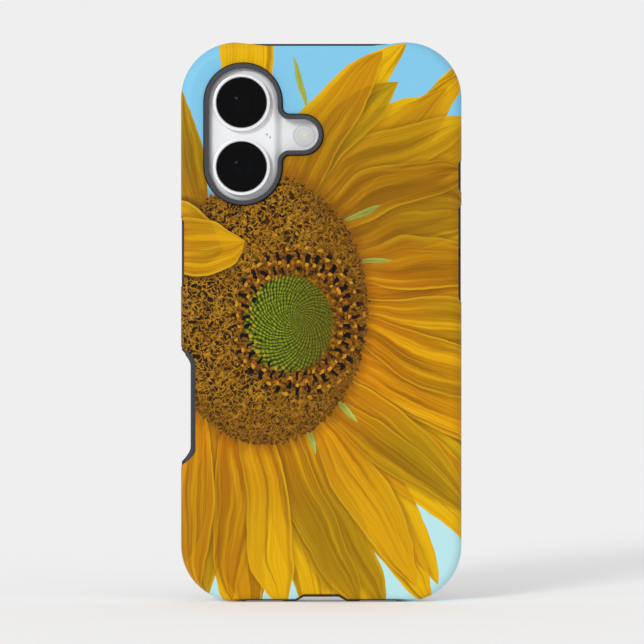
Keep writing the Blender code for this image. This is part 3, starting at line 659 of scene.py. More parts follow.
def strand_colour(graph, flat, wander, grain):
    """Curly strands over a dark ground, finer to the right and towards the bottom."""
    first = curly_lines(graph, wander, 0.5, (0.0, 0.0, 0.0), 0.075)
    second = curly_lines(graph, wander, 0.62, (31.0, 17.0, 5.0), 0.075)
    third = curly_lines(graph, wander, 0.44, (-19.0, 43.0, 11.0), 0.06)
    strands = graph.math("MAXIMUM", graph.math("MULTIPLY", first, 0.75),
                         graph.math("MAXIMUM", second, graph.math("MULTIPLY", third, 0.85)))
    strands = graph.math("MULTIPLY", strands, graph.span(grain, 0.2, 0.62, 0.45, 1.0))
    curly = graph.ramp(strands, [(0.03, linear(40, 22, 8)), (0.3, linear(84, 56, 12)),
                                 (0.6, linear(134, 94, 16)), (0.9, linear(190, 134, 30))])
    fine = graph.ramp(curly_lines(graph, wander, 1.0, (7.0, 3.0, 1.0), 0.12), [
        (0.1, linear(70, 42, 8)), (0.5, linear(120, 76, 12)), (0.9, linear(166, 110, 18))])
    x, z, _ = graph.split(flat)
    finer = graph.math("MAXIMUM", graph.span(x, -12.0, 6.0, 0.0, 0.6),
                       graph.span(z, 60.0, 48.0, 0.0, 0.6))
    curly = graph.blend(finer, curly, fine)
    patch = graph.noise(flat, 0.1, 1.0).outputs[0]
    return graph.blend(graph.span(patch, 0.5, 0.7, 0.0, 0.3), curly, linear(118, 68, 8))


def ring_marks(graph, radius, swirl, grain):
    """Where the ring around the heart has dark gaps, and the bright florets between them."""
    columns = graph.math("MULTIPLY", swirl, 38.0)
    random_shift = graph.node("ShaderNodeTexWhiteNoise", {"W": graph.math("FLOOR", columns)},
                              noise_dimensions="1D").outputs["Value"]
    side = graph.gap(graph.math("FRACT", columns), 0.5)
    row = graph.math("MULTIPLY_ADD", radius, 3.7, random_shift)
    up = graph.math("SUBTRACT", graph.math("FRACT", row), 0.5)
    slab = graph.math("MAXIMUM", graph.math("DIVIDE", side, 0.2),
                      graph.math("DIVIDE", graph.math("ABSOLUTE", up), 0.3))
    slab = graph.math("ADD", slab, graph.math("MULTIPLY_ADD", grain, 0.7, -0.35))
    from_blob = graph.vector("LENGTH", graph.join(side, graph.math("ADD", up, 0.42), 0.0))
    in_ring = graph.math("MULTIPLY", graph.span(radius, 0.72, 0.86),
                         graph.span(radius, 1.34, 1.18))
    dark = graph.math("MULTIPLY", graph.span(slab, 1.05, 0.85), in_ring)
    blob = graph.math("MULTIPLY", graph.span(from_blob, 0.24, 0.12), in_ring)
    return dark, blob


def disc_colour(graph, flat):
    """The flower's disc: its green heart, a granular band, the ring of florets, and strands."""
    radius, turns = polar(graph, flat, (HEART_X, HEART_Z), (RING_HALF_WIDTH, RING_HALF_HEIGHT))
    grain = graph.noise(flat, 1.2, 3.0, 0.6).outputs[0]
    jitter = graph.math("MULTIPLY_ADD", graph.noise(flat, 0.4, 2.0).outputs[0], 0.03, -0.015)
    swirl = graph.math("ADD", turns, jitter)
    bent = graph.noise(flat, 0.5, 1.0).outputs["Color"]
    wander = graph.vector("MULTIPLY_ADD", bent, (2.2, 2.2, 0.0), flat)
    ragged = graph.math("MULTIPLY_ADD", grain, 0.24, -0.12)

    green = heart_colour(graph, flat, radius, swirl, grain)
    granular = graph.ramp(graph.noise(wander, 0.85, 2.0, 0.6).outputs[0], [
        (0.36, linear(54, 32, 8)), (0.5, linear(112, 68, 10)), (0.66, linear(168, 110, 16))])
    curly = strand_colour(graph, flat, wander, grain)
    dark, blob = ring_marks(graph, radius, swirl, grain)

    from_heart, _ = polar(graph, flat, (GREEN_X, GREEN_Z), (GREEN_HALF_WIDTH, GREEN_HALF_HEIGHT))
    past_heart = graph.span(graph.math("ADD", from_heart, ragged), 0.9, 1.04)
    past_ring = graph.span(graph.math("ADD", radius, ragged), 1.05, 1.25)
    colour = graph.blend(past_heart, green, granular)
    colour = graph.blend(past_ring, colour, curly)
    colour = graph.blend(blob, colour, linear(200, 140, 30))
    return graph.blend(dark, colour, linear(20, 13, 14))


def painted_bottom_shade(graph):
    """Painted shade that darkens the print along the shell's bottom edge, round the notch below the
    port too.
    """
    x, _, z = graph.split(object_point(graph))
    slope = NOTCH_DEPTH / (NOTCH_BASE_HALF_WIDTH - NOTCH_TOP_HALF_WIDTH)
    from_notch = graph.math("SUBTRACT", NOTCH_BASE_HALF_WIDTH, graph.math("ABSOLUTE", x))
    height = graph.math("MULTIPLY", from_notch, slope)
    height = graph.math("MINIMUM", graph.math("MAXIMUM", height, 0.0), NOTCH_DEPTH)
    above = graph.math("SUBTRACT", z, height)
    ends = graph.span(graph.math("ABSOLUTE", x), 20.0, 27.0, 1.0, 0.0)
    return graph.math("MULTIPLY", graph.span(above, 0.95, 0.55, 0.0, 0.95), ends)


def warped(graph, flat):
    """The place on the print, moved about a little so that no petal is quite regular."""
    broad = graph.noise(flat, 0.05, 0.0).outputs["Color"]
    fine = graph.noise(flat, 0.16, 1.0).outputs["Color"]
    point = graph.vector("MULTIPLY_ADD", broad, (6.0, 6.0, 0.0), flat)
    point = graph.vector("MULTIPLY_ADD", fine, (1.0, 1.0, 0.0), point)
    return graph.vector("SUBTRACT", point, (3.5, 3.5, 0.0))


def sky_and_petals(graph, flat, under, colouring):
    """The sky with the petals behind the disc, deeper in tone above and at the bottom."""
    petals = graph.node("ShaderNodeGroup", under, node_tree=colouring).outputs[0]
    height = graph.split(flat)[1]
    upper = graph.math("MULTIPLY", graph.span(height, 80.0, 104.0, 0.0, 0.44),
                       graph.span(height, 122.0, 146.0, 1.0, 0.3))
    petals = graph.blend(upper, petals, linear(112, 86, 12))
    petals = graph.blend(graph.span(height, 52.0, 28.0, 0.0, 0.24), petals, linear(146, 108, 12))
    sky = graph.blend(graph.span(height, 60.0, 130.0, 0.0, 1.0), SKY_PALE, SKY_DEEP)
    return graph.blend(graph.math("MINIMUM", under[2], 1.0), sky, petals)


def add_disc(graph, flat, colour):
    """Lays the disc over the petals, with a frayed edge and its shadow on them."""
    radius, turns = polar(graph, flat, (DISC_X, DISC_Z), (DISC_HALF_WIDTH, DISC_HALF_HEIGHT))
    hairs = graph.noise(graph.join(graph.math("MULTIPLY", turns, 160.0),
                                   graph.math("MULTIPLY", radius, 6.0), 0.0), 1.0, 2.0).outputs[0]
    frayed = graph.math("MULTIPLY_ADD", hairs, 0.15, graph.math("SUBTRACT", radius, 0.075))
    disc_shadow = graph.span(frayed, 0.98, 1.12, 0.6, 0.0)
    colour = graph.blend(disc_shadow, colour, linear(120, 70, 8))
    rim_shade = graph.span(frayed, 0.8, 1.0, 0.0, 0.3)
    florets = graph.blend(rim_shade, disc_colour(graph, flat), linear(84, 50, 14))
    return graph.blend(graph.math("LESS_THAN", frayed, 1.0), colour, florets)


def add_over_petals(graph, over, colouring, colour):
    """Lays the petals that curl over the disc, with their shadow."""
    petal, light, count = over
    lifted = graph.math("ADD", count, 1.0)
    petals = graph.node("ShaderNodeGroup", [petal, light, lifted],
                        node_tree=colouring).outputs[0]
    colour = graph.blend(graph.span(light, 0.4, 1.0, 0.6, 0.0), colour, linear(40, 24, 10))
    return graph.blend(graph.math("MINIMUM", count, 1.0), colour, petals)


def print_material():
    """The printed shell: sky, petals and the flower's disc, all worked out from formulas."""
    made, graph, shader = new_material("printed_shell", Roughness=0.4,
                                       Specular_IOR_Level=0.1)
    uv = graph.node("ShaderNodeUVMap", uv_map="print").outputs[0]
    flat = graph.vector("MULTIPLY", uv, (UV_SCALE, UV_SCALE, 0.0))
    point = warped(graph, flat)
    one_petal = petal_group()
    colouring = petal_colour_group()
    under = lay_petals(graph, one_petal, point, under_petals())
    over = lay_petals(graph, one_petal, point, over_petals())
    colour = sky_and_petals(graph, flat, under, colouring)
    colour = add_disc(graph, flat, colour)
    colour = add_over_petals(graph, over, colouring, colour)
    # Painted shade: the print darkens along the bottom edge, where the shell's underside lies in
    # shadow.
    colour = graph.blend(painted_bottom_shade(graph), colour, BOTTOM_SHADE_BROWN)
    graph.put(shader.inputs["Base Color"], colour)
    texture = graph.noise(object_point(graph), 9.0, 2.0).outputs[0]
    graph.put(shader.inputs["Normal"], graph.bump(texture, 0.15, 0.004))
    return made


# ---------------------------------------------------------------- plain finishes

def moulded(name, colour, roughness, speckle, grain, bump, depth, **sockets):
    """A procedural finish: the colour varies a little, and a fine grain roughens the surface."""
    made, graph, shader = new_material(name, **sockets)
    place = object_point(graph)
    fine = graph.noise(place, grain, 4.0, 0.6).outputs[0]
    broad = graph.noise(place, 0.12, 2.0).outputs[0]
    mixed = graph.math("MULTIPLY_ADD", broad, 0.6, graph.math("MULTIPLY", fine, 0.4))
    darker = tuple(channel * (1 - speckle) for channel in colour[:3]) + (1.0,)
    lighter = tuple(min(1.0, channel * (1 + speckle)) for channel in colour[:3]) + (1.0,)
    graph.put(shader.inputs["Base Color"], graph.ramp(mixed, [(0.35, darker), (0.65, lighter)]))
    graph.put(shader.inputs["Roughness"], graph.span(fine, 0.3, 0.7, max(0.02, roughness - 0.06),
                                                     roughness + 0.06))
    graph.put(shader.inputs["Normal"], graph.bump(fine, bump, depth))
    return made


# ---------------------------------------------------------------- case pieces

def from_core(x, z):
    """The nearest point between the centres of the corner arcs, and the way from it to (x, z)."""
    reach = CASE_HALF_WIDTH - CORNER_RADIUS
    core = Vector((max(-reach, min(reach, x)),
                   max(CORNER_RADIUS, min(CASE_HEIGHT - CORNER_RADIUS, z))))
    return core, Vector((x, z)) - core


def print_place(corner):
    """Where a point of the shell's outside lies on the flat print, in millimetres.

    The print runs over the back's fillet and down the sides without stretching.
    """
    x, y, z = corner.x / MM, corner.y / MM, corner.z / MM
    core, away = from_core(x, z)
    distance = away.length
    flat_reach = CORNER_RADIUS - FILLET_RADIUS
    if distance <= flat_reach:
        return x, z
    fillet_y = SHELL_BACK + FILLET_RADIUS
    if y > fillet_y:
        run = FILLET_RADIUS * math.pi / 2 + y - fillet_y
    else:
        run = FILLET_RADIUS * math.atan2(distance - flat_reach, fillet_y - y)
    spot = core + away / distance * (flat_reach + run)
    return spot.x, spot.y


def is_outside(centre, normal):
    """Whether a face belongs to the shell's printed outside."""
    x, y, z = centre.x / MM, centre.y / MM, centre.z / MM
    if y < SHELL_BACK + 0.05:
        return True
    if z > CASE_HEIGHT - TOP_DIP and normal.z > 0.9:
        return True
    away = from_core(x, z)[1]
    if away.length < 1e-3:
        return False
    inset = CORNER_RADIUS - away.length
    fillet_y = SHELL_BACK + FILLET_RADIUS
    if y > fillet_y:
        return inset < 0.12 and normal.y < 0.7
    from_line = math.hypot(FILLET_RADIUS - inset, fillet_y - y)
    return from_line > FILLET_RADIUS - 0.12


def through(name, outline, centre=(0.0, 0.0)):
    """A cutting solid right through the case from back to front."""
    return prism(name, [outline], "Y", -CLEAR, CLEAR, centre=centre)


def bottom_cuts():
    """The openings that the shell and the liner share along the bottom edge."""
    below = 3.0
    slope = (NOTCH_BASE_HALF_WIDTH - NOTCH_TOP_HALF_WIDTH) / NOTCH_DEPTH
    top, wide = NOTCH_TOP_HALF_WIDTH, NOTCH_BASE_HALF_WIDTH + below * slope
    notch = [(top, NOTCH_DEPTH), (-top, NOTCH_DEPTH), (-wide, -below), (wide, -below)]
    cuts = [through("notch", notch),
            prism("port_hole", [stadium(*PORT_HOLE_HALF_SIZE)], "Z", *BOTTOM_HOLE_RANGE,
                  centre=(0, BUTTON_LINE))]
    for side in (-1, 1):
        cuts.append(prism("sound_slot", [stadium(*SOUND_SLOT_HALF_SIZE)], "Z", *BOTTOM_HOLE_RANGE,
                          centre=(side * SPEAKER_X, BUTTON_LINE)))
        cuts.append(through("sound_recess", SOUND_RECESS_OUTLINE, (side * SPEAKER_X, 0)))
    return [("DIFFERENCE", cut) for cut in cuts]


def side_range(side, first_inset, second_inset):
    edges = [side * (CASE_HALF_WIDTH - first_inset), side * (CASE_HALF_WIDTH - second_inset)]
    return min(edges), max(edges)


def build_shell(printed, inside):
    """The hard printed layer, open at the front."""
    shell = case_slab("printed_case_shell", 0.0, SHELL_BACK, SHELL_FRONT, low_rim=back_fillet(0.0))
    cuts = [case_slab("cavity", SHELL_INNER_INSET, SHELL_CAVITY_BACK, SHELL_FRONT + 3,
                      low_rim=back_fillet(SHELL_INNER_INSET)),
            prism("camera_cut", [camera_outline(0.0)], "Y", -CLEAR, -1)]
    half_window = (WINDOW_FRONT - WINDOW_BACK) / 2
    for side, low, high in SHELL_WINDOWS:
        half = (high - low) / 2
        outline = rounded_rectangle((-half_window, -half), (half_window, half), 1.5, 8)
        cuts.append(prism("window", [outline], "X", *side_range(side, -2.0, WINDOW_INSET),
                          centre=((WINDOW_BACK + WINDOW_FRONT) / 2, (low + high) / 2)))
    cuts.append(through("scoop", scoop_outline(SHELL_SCOOP_X, 1.0)))
    cuts.append(through("top_dip", TOP_DIP_OUTLINE, (0, CASE_HEIGHT)))
    combined(shell, [("DIFFERENCE", cut) for cut in cuts] + bottom_cuts(), soften=0.1)
    mesh = shell.data
    mesh.materials.clear()
    mesh.materials.append(printed)
    mesh.materials.append(inside)
    layer = mesh.uv_layers.new(name="print")
    for face in mesh.polygons:
        face.material_index = 0 if is_outside(face.center, face.normal) else 1
        for loop in face.loop_indices:
            spot = print_place(mesh.vertices[mesh.loops[loop].vertex_index].co)
            layer.data[loop].uv = (spot[0] / UV_SCALE, spot[1] / UV_SCALE)
    finish_piece(shell, None, ["case_shell"])


def build_liner(rubber):
    """The soft layer: its flange in front of the shell, and its rim around the cameras."""
    liner = case_slab("rubber_case_liner", LINER_OUTER_INSET, LINER_BACK, CASE_FRONT - 0.6,
                      low_rim=back_fillet(LINER_OUTER_INSET))
    steps = [("UNION", case_slab("flange", 0.0, FLANGE_BACK, CASE_FRONT, high_rim=(0.9, 6))),
             ("UNION", prism("camera_rim", [camera_outline(-RIM_GAP)], "Y", CAMERA_RIM_BACK,
                             LINER_BACK + 0.6, low_rim=(0.4, 5)))]
    cuts = [case_slab("cavity", LINER_INNER_INSET, LINER_CAVITY_BACK, LINER_CAVITY_FRONT,
                      low_rim=back_fillet(LINER_INNER_INSET)),
            case_slab("screen_opening", LIP_INSET, 0, CASE_FRONT + 2),
            prism("camera_cut", [camera_outline(-RIM_WIDTH)], "Y", -CLEAR, -1)]
    for side, centre_z, half_length in PADS.values():
        outline = stadium(PAD_HALF_WIDTH + PAD_GAP, half_length + PAD_GAP)
        cuts.append(prism("pad_hole", [outline], "X",
                          *side_range(side, 0.5, LINER_INNER_INSET + 0.6),
                          centre=(BUTTON_LINE, centre_z)))
    cuts.append(through("scoop", scoop_outline(LINER_SCOOP_X, 0.0)))
    steps += [("DIFFERENCE", cut) for cut in cuts] + bottom_cuts()
    combined(liner, steps, soften=0.1)
    finish_piece(liner, rubber, ["case_liner"])


# ---------------------------------------------------------------- camera area

def plateau_solid():
    """The raised part of the glass back: a swept profile with a fillet at its foot."""
    foot, edge, steps = 1.9, -0.8, 20
    height = PHONE_BACK - 0.01 - PLATEAU_BACK
    profile = [(foot, BACK_GLASS_FRONT - 0.3)]
    for step in range(steps + 1):
        share = step / steps
        rise = share * share * (3 - 2 * share)
        profile.append((foot + (edge - foot) * share, PHONE_BACK - 0.01 - height * rise))
    edit = bmesh.new()
    rings = []
    for grow, y in profile:
        outline = stadium(PLATEAU_HALF_WIDTH + grow, PLATEAU_HALF_HEIGHT + grow, 32)
        rings.append([edit.verts.new(((PLATEAU_X + x) * MM, y * MM, (PILL_Z + z) * MM))
                      for x, z in outline])
    for lower, upper in zip(rings, rings[1:]):
        for index in range(len(lower)):
            following = (index + 1) % len(lower)
            edit.faces.new((lower[index], lower[following], upper[following], upper[index]))
    edit.faces.new(rings[0])
    edit.faces.new(rings[-1])
    bmesh.ops.recalc_face_normals(edit, faces=edit.faces)
    mesh = bpy.data.meshes.new("plateau")
    edit.to_mesh(mesh)
    edit.free()
    return link("plateau", mesh)


def build_back_glass(finish):
    glass = case_slab("glass_back", GLASS_INSET, PHONE_BACK, BACK_GLASS_FRONT, low_rim=(0.3, 4))
    steps = [("UNION", plateau_solid())]
    holes = [disc("bore", LENS_X, lens_z, LENS_BORE_RADIUS, -CLEAR, 1) for lens_z in LENS_Z.values()]
    holes.append(disc("flash_hole", FLASH_X, FLASH_Z, FLASH_HOLE_RADIUS, -CLEAR, 1, 64))
    seat_radius, seat_depth, hole_radius = 0.4, 0.3, 0.16
    for x, z in MICROPHONE_HOLES:
        holes.append(disc("sound_seat", x, z, seat_radius, -CLEAR, PLATEAU_BACK + seat_depth, 32))
        holes.append(disc("sound_hole", x, z, hole_radius, -CLEAR, 1, 24))
    combined(glass, steps + [("DIFFERENCE", hole) for hole in holes])
    finish_piece(glass, finish, ["back_glass"])


def build_camera(level, finishes):
    """One rear camera: trim ring, cover glass, black border, stepped barrel and domed element."""
    lens_z = LENS_Z[level]
    outer, seat_radius, bore, foot = 7.8, 6.98, 5.85, 6.4
    corner, chamfer = 0.18, 0.12
    seat, ring_front, foot_front = -5.0, PLATEAU_BACK - 0.12, BACK_GLASS_FRONT + 0.1
    rim = arc((outer - corner, LENS_RING_BACK + corner), corner, 0, -90, 4)
    ring = turned("lens_trim_" + level, LENS_X, lens_z, rim + [
        (seat_radius + chamfer, LENS_RING_BACK), (seat_radius, LENS_RING_BACK + chamfer),
        (seat_radius, seat), (bore, seat), (bore, foot_front), (foot, foot_front),
        (foot, ring_front), (outer, ring_front)])
    finish_piece(ring, finishes["ring"], ["lens_ring_" + level])

    cover_back, cover_front, cover_radius = LENS_RING_BACK + 0.15, seat - 0.12, 6.85
    cover = turned("lens_window_" + level, LENS_X, lens_z, [
        (0, cover_back), (cover_radius - 0.15, cover_back), (cover_radius, cover_back + 0.12),
        (cover_radius, cover_front), (0, cover_front)], closed=False)
    finish_piece(cover, finishes["cover"], ["lens_cover_" + level])

    border_outer, border_inner = cover_radius - 0.05, 4.4
    border_back, border_front = cover_front + 0.02, seat - 0.02
    mask = turned("lens_mask_" + level, LENS_X, lens_z, [
        (border_outer, border_back), (border_outer, border_front),
        (border_inner, border_front), (border_inner, border_back)])
    finish_piece(mask, finishes["mask"], [])

    barrel_outer, barrel_inner, barrel_back, barrel_front = 5.7, 3.22, -4.75, -0.6
    mouth, throat, steps, step_depth, step_ledge = 5.2, 3.45, 5, 0.2, 0.14
    funnel = []
    for step in range(steps):
        radius = mouth - (mouth - throat) * step / (steps - 1)
        y = barrel_back + step_depth * step
        funnel += [(radius, y), (radius, y + step_ledge), (radius - step_depth, y + step_ledge)]
    barrel = turned("lens_funnel_" + level, LENS_X, lens_z, [
        (barrel_outer, barrel_front), (barrel_outer, barrel_back)] + funnel + [
        (barrel_inner, -3.7), (barrel_inner, barrel_front)])
    finish_piece(barrel, finishes["barrel"], ["lens_barrel_" + level])

    dome_edge, dome_rise, dome_front = -2.9, 1.0, -2.2
    dome = []
    for turn in range(0, 91, 9):
        angle = math.radians(turn)
        dome.append((LENS_DOME_RADIUS * math.sin(angle), dome_edge - dome_rise * math.cos(angle)))
    element = turned("lens_dome_" + level, LENS_X, lens_z,
                     dome + [(LENS_DOME_RADIUS, dome_front), (0, dome_front)],
                     closed=False, steps=64)
    finish_piece(element, finishes["element_" + level], ["lens_element_" + level])


def build_flash(finish):
    """The flash's window, with the concentric steps of a Fresnel lens."""
    rings, groove_width = 7, 0.12
    crest, groove = PHONE_BACK + 0.02, PHONE_BACK + 0.05
    profile = [(0.0, crest)]
    for ring in range(rings):
        edge = FLASH_RADIUS * (ring + 1) / rings
        profile += [(edge - groove_width, groove), (edge, crest)]
    profile += [(FLASH_RADIUS, BACK_GLASS_FRONT), (0.0, BACK_GLASS_FRONT)]
    window = turned("flash_lens", FLASH_X, FLASH_Z, profile, closed=False)
    finish_piece(window, finish, ["flash_window"])


# ---------------------------------------------------------------- materials of each piece

def glass_material(name, colour):
    """Clear tinted glass with a few faint smudges."""
    made, graph, shader = new_material(name, Transmission_Weight=1.0, IOR=1.5)
    smudge = graph.noise(object_point(graph), 0.35, 3.0, 0.6).outputs[0]
    graph.put(shader.inputs["Roughness"], graph.span(smudge, 0.45, 0.8, 0.0, 0.04))
    tint = tuple(channel * 0.94 for channel in colour[:3]) + (1.0,)
    graph.put(shader.inputs["Base Color"], graph.blend(smudge, tint, colour))
    return made


def painted_reflection_lens(name, middle, rim, centre):
    """A coated lens at middle (x, z): painted reflections of its coating, a faint tint near its centre
    and a crescent at one edge.
    """
    made, graph, shader = new_material(name, Roughness=0.04, Specular_IOR_Level=0.6,
                                       Coat_Weight=1.0, Coat_Roughness=0.02)
    shift_x, shift_z = -1.1, 0.3
    reach = 4.7
    x, _, z = graph.split(object_point(graph))
    away = graph.distance(x, z, (middle[0] + shift_x, middle[1] + shift_z))
    drift = graph.noise(object_point(graph), 0.3, 1.0).outputs[0]
    drifted = graph.math("MULTIPLY_ADD", drift, 0.5, away)
    # The tint near the centre and the crescent at the edge are painted reflections of the coating.
    colour = graph.ramp(graph.math("DIVIDE", drifted, reach), [
        (0.12, centre), (0.4, linear(6, 7, 12)), (0.66, linear(6, 7, 12)), (0.95, rim)])
    graph.put(shader.inputs["Base Color"], colour)
    return made


def flash_material():
    """A milky diffuser: faint rings, and a painted highlight that makes its middle over the lamp
    brighter.
    """
    made, graph, shader = new_material("flash_diffuser", Roughness=0.25, Coat_Weight=0.5)
    x, _, z = graph.split(object_point(graph))
    radius = graph.math("DIVIDE", graph.distance(x, z, (FLASH_X, FLASH_Z)), FLASH_HOLE_RADIUS)
    # The near-white middle is a painted highlight.
    colour = graph.ramp(radius, [(0.0, linear(255, 254, 240)), (0.1, linear(236, 228, 206)),
                                 (0.35, linear(232, 230, 222)), (0.6, linear(222, 226, 226)),
                                 (0.85, linear(230, 231, 231)), (1.0, linear(200, 203, 203))])
    steps = graph.math("ABSOLUTE", graph.math("SINE", graph.math("MULTIPLY", radius, 11.0)))
    colour = graph.blend(graph.span(steps, 0.0, 0.4, 0.22, 0.0), colour, linear(190, 194, 194))
    graph.put(shader.inputs["Base Color"], colour)
    return made


def rubber_material(name):
    """Matte dark grey rubber."""
    return moulded(name, linear(64, 64, 69), 0.66, 0.08, 9.0, 0.35, 0.012,
                   Specular_IOR_Level=0.3)


# Plain finishes of CAD nodes: their names, then the material's name, colour, roughness, speckle,
# grain, bump, depth of the bump, and its own sockets.
KEYS = ("action", "volume_up", "volume_down", "side")
METAL = {"Metallic": 1.0}
STEEL = (222, 224, 226)
PLAIN_FINISHES = (
    (["phone_frame"], "frame_metal", STEEL, 0.34, 0.04, 14.0, 0.25, 0.006, METAL),
    ([key + "_button" for key in KEYS], "key_metal", STEEL, 0.3, 0.04, 14.0, 0.2, 0.005, METAL),
    ([key + "_switch" for key in KEYS] + ["camera_control_sensor"], "contact_metal",
     (206, 190, 150), 0.35, 0.1, 8.0, 0.2, 0.01, METAL),
    (["camera_control_button"], "control_glass", (214, 214, 216), 0.1, 0.03, 4.0, 0.05, 0.003,
     {"Coat_Weight": 0.6}),
    (["earpiece_mesh"], "mesh_metal", (52, 52, 54), 0.5, 0.3, 12.0, 0.8, 0.02, {"Metallic": 0.7}),
    (["display_panel"], "display", (6, 6, 8), 0.2, 0.3, 3.0, 0.02, 0.002, {}),
    (["face_sensor"], "face_sensor_window", (22, 14, 18), 0.15, 0.3, 3.0, 0.05, 0.003, {}),
    (["camera_sensor_upper", "camera_sensor_lower"], "sensor_housing", (40, 40, 44), 0.4, 0.15,
     6.0, 0.3, 0.01, {}),
    (["flash_led"], "flash_phosphor", (240, 214, 90), 0.5, 0.1, 9.0, 0.3, 0.01, {}),
    (["rear_microphone", "bottom_microphone"], "microphone_metal", (200, 180, 130), 0.3, 0.1, 7.0,
     0.2, 0.01, METAL),
    (["midplate"], "midplate_metal", (178, 180, 182), 0.4, 0.08, 5.0, 0.25, 0.01, METAL),
    (["battery"], "battery_pouch", (44, 44, 48), 0.45, 0.15, 1.2, 0.4, 0.05, {}),
    (["board_shield"], "shield_metal", (190, 190, 186), 0.35, 0.08, 2.0, 0.3, 0.02, METAL),
    (["magnet_ring"], "magnet_metal", (150, 150, 154), 0.3, 0.1, 4.0, 0.2, 0.01, METAL),
    (["charging_port"], "port_metal", (196, 196, 198), 0.28, 0.08, 10.0, 0.2, 0.008, METAL),
    (["haptic_motor"], "haptic_metal", (160, 160, 162), 0.3, 0.1, 5.0, 0.2, 0.01, METAL),
    (["loudspeaker", "earpiece_speaker"], "speaker_plastic", (30, 30, 32), 0.5, 0.15, 7.0, 0.4,
     0.02, {}),
    (["bottom_screw_left", "bottom_screw_right"], "screw_metal", (190, 192, 196), 0.28, 0.08, 12.0,
     0.3, 0.01, METAL),
)


def cad_finishes():
    """The names of the CAD nodes that stay, each group with its material."""
    finishes = [([key + "_pad" for key in KEYS], rubber_material("pad_rubber")),
                (["front_glass"], screen_material()),
                # The front camera's lens gets painted reflections of its coating too.
                (["front_camera"], painted_reflection_lens("front_camera_lens", FRONT_CAMERA,
                                                  linear(30, 34, 60), linear(14, 12, 22))),
                (["main_board"], board_material()),
                (["charging_coil"], coil_material()),
                (["port_tongue"], tongue_material())]
    for names, material, colour, *surface, sockets in PLAIN_FINISHES:
        finishes.append((names, moulded(material, linear(*colour), *surface, **sockets)))
    return finishes


def screen_material():
    """Black cover glass: the switched-off display's area, and the darker pill of the sensors."""
    made, graph, shader = new_material("front_glass", Roughness=0.04, Specular_IOR_Level=0.5)
    x, _, z = graph.split(object_point(graph))
    half_width, half_height = DISPLAY_HALF_SIZE
    outside = graph.math("MAXIMUM",
                         graph.math("SUBTRACT", graph.gap(x, 0.0), half_width),
                         graph.math("SUBTRACT", graph.gap(z, CASE_HEIGHT / 2), half_height))
    drift = graph.noise(object_point(graph), 0.04, 1.0).outputs[0]
    panel = graph.blend(drift, linear(13, 13, 16), linear(17, 17, 20))
    colour = graph.blend(graph.span(outside, -0.1, 0.1), panel, linear(5, 5, 6))
    pill_x, pill_z, pill_reach, pill_radius = SENSOR_PILL
    past_reach = graph.math("MAXIMUM",
                            graph.math("SUBTRACT", graph.gap(x, pill_x), pill_reach), 0.0)
    from_pill = graph.distance(past_reach, z, (0.0, pill_z))
    in_pill = graph.span(from_pill, pill_radius + 0.1, pill_radius - 0.1)
    colour = graph.blend(in_pill, colour, linear(3, 3, 4))
    in_lens = graph.span(graph.distance(x, z, FRONT_CAMERA), 1.3, 0.9)
    graph.put(shader.inputs["Base Color"], graph.blend(in_lens, colour, linear(16, 20, 44)))
    return made


def board_material():
    """A green circuit board: patches of solder mask with thin lines of copper between them."""
    made, graph, shader = new_material("circuit_board", Roughness=0.4)
    place = object_point(graph)
    level = graph.split(graph.cells(place, 0.25, "F1").outputs["Color"])[0]
    tracks = graph.cells(place, 0.9, "DISTANCE_TO_EDGE").outputs[0]
    mask = graph.ramp(level, [(0.2, linear(14, 58, 40)), (0.8, linear(26, 84, 56))])
    colour = graph.blend(graph.span(tracks, 0.05, 0.02), mask, linear(120, 110, 60))
    graph.put(shader.inputs["Base Color"], colour)
    graph.put(shader.inputs["Normal"], graph.bump(tracks, 0.4, 0.02))
    return made


def coil_material():
    """Copper wire wound in a flat spiral: the turns show as fine rings."""
    made, graph, shader = new_material("coil_copper", Metallic=1.0, Roughness=0.3)
    x, _, z = graph.split(object_point(graph))
    radius = graph.distance(x, z, (0.0, CASE_HEIGHT / 2))
    wires = graph.math("ABSOLUTE", graph.math("SINE", graph.math("MULTIPLY", radius, 7.0)))
    colour = graph.ramp(wires, [(0.0, linear(90, 44, 22)), (0.6, linear(200, 116, 70))])
    graph.put(shader.inputs["Base Color"], colour)
    graph.put(shader.inputs["Normal"], graph.bump(wires, 0.6, 0.05))
    return made


def tongue_material():
    """The port's tongue: black plastic with a row of gilt contacts."""
    made, graph, shader = new_material("port_plastic", Roughness=0.4)
    x, _, z = graph.split(object_point(graph))
    pitch = graph.math("FRACT", graph.math("MULTIPLY", x, 2.0))
    row = graph.math("MULTIPLY", graph.math("LESS_THAN", pitch, 0.5),
                     graph.math("GREATER_THAN", z, 4.2))
    grain = graph.noise(object_point(graph), 8.0, 2.0).outputs[0]
    plastic = graph.blend(grain, linear(18, 18, 19), linear(34, 34, 36))
    graph.put(shader.inputs["Base Color"], graph.blend(row, plastic, linear(196, 160, 84)))
    graph.put(shader.inputs["Metallic"], row)
    return made


def finish_cad_nodes():
    """Gives each CAD node that stays its material."""
    for names, finish in cad_finishes():
        for name in names:
            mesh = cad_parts[name].data
            mesh.materials.clear()
            mesh.materials.append(finish)


# ---------------------------------------------------------------- studio

STUDIO_GREY = linear(239, 239, 239)
CAMERA_DISTANCE = 1.2
FRAME_WIDTH = 0.1755
CAMERA_HEIGHT = 0.0763
CAMERA_X = 0.0002


def build_floor():
    """A plain floor just under the case; its faint glow matches its tone to the backdrop's."""
    below = 0.05 * MM
    bpy.ops.mesh.primitive_plane_add(size=8.0, location=(0, 0, cad_box[0][2] - below))
    floor = bpy.context.object
    floor.name = "floor"
    made, graph, shader = new_material("studio_floor", Roughness=0.9, Specular_IOR_Level=0.0,
                                       Emission_Color=(1, 1, 1, 1), Emission_Strength=0.171)
    cloud = graph.noise(object_point(graph), 0.004, 2.0).outputs[0]
    graph.put(shader.inputs["Base Color"], graph.blend(cloud, linear(238, 238, 238),
                                                       linear(239, 239, 239)))
    floor.data.materials.append(made)


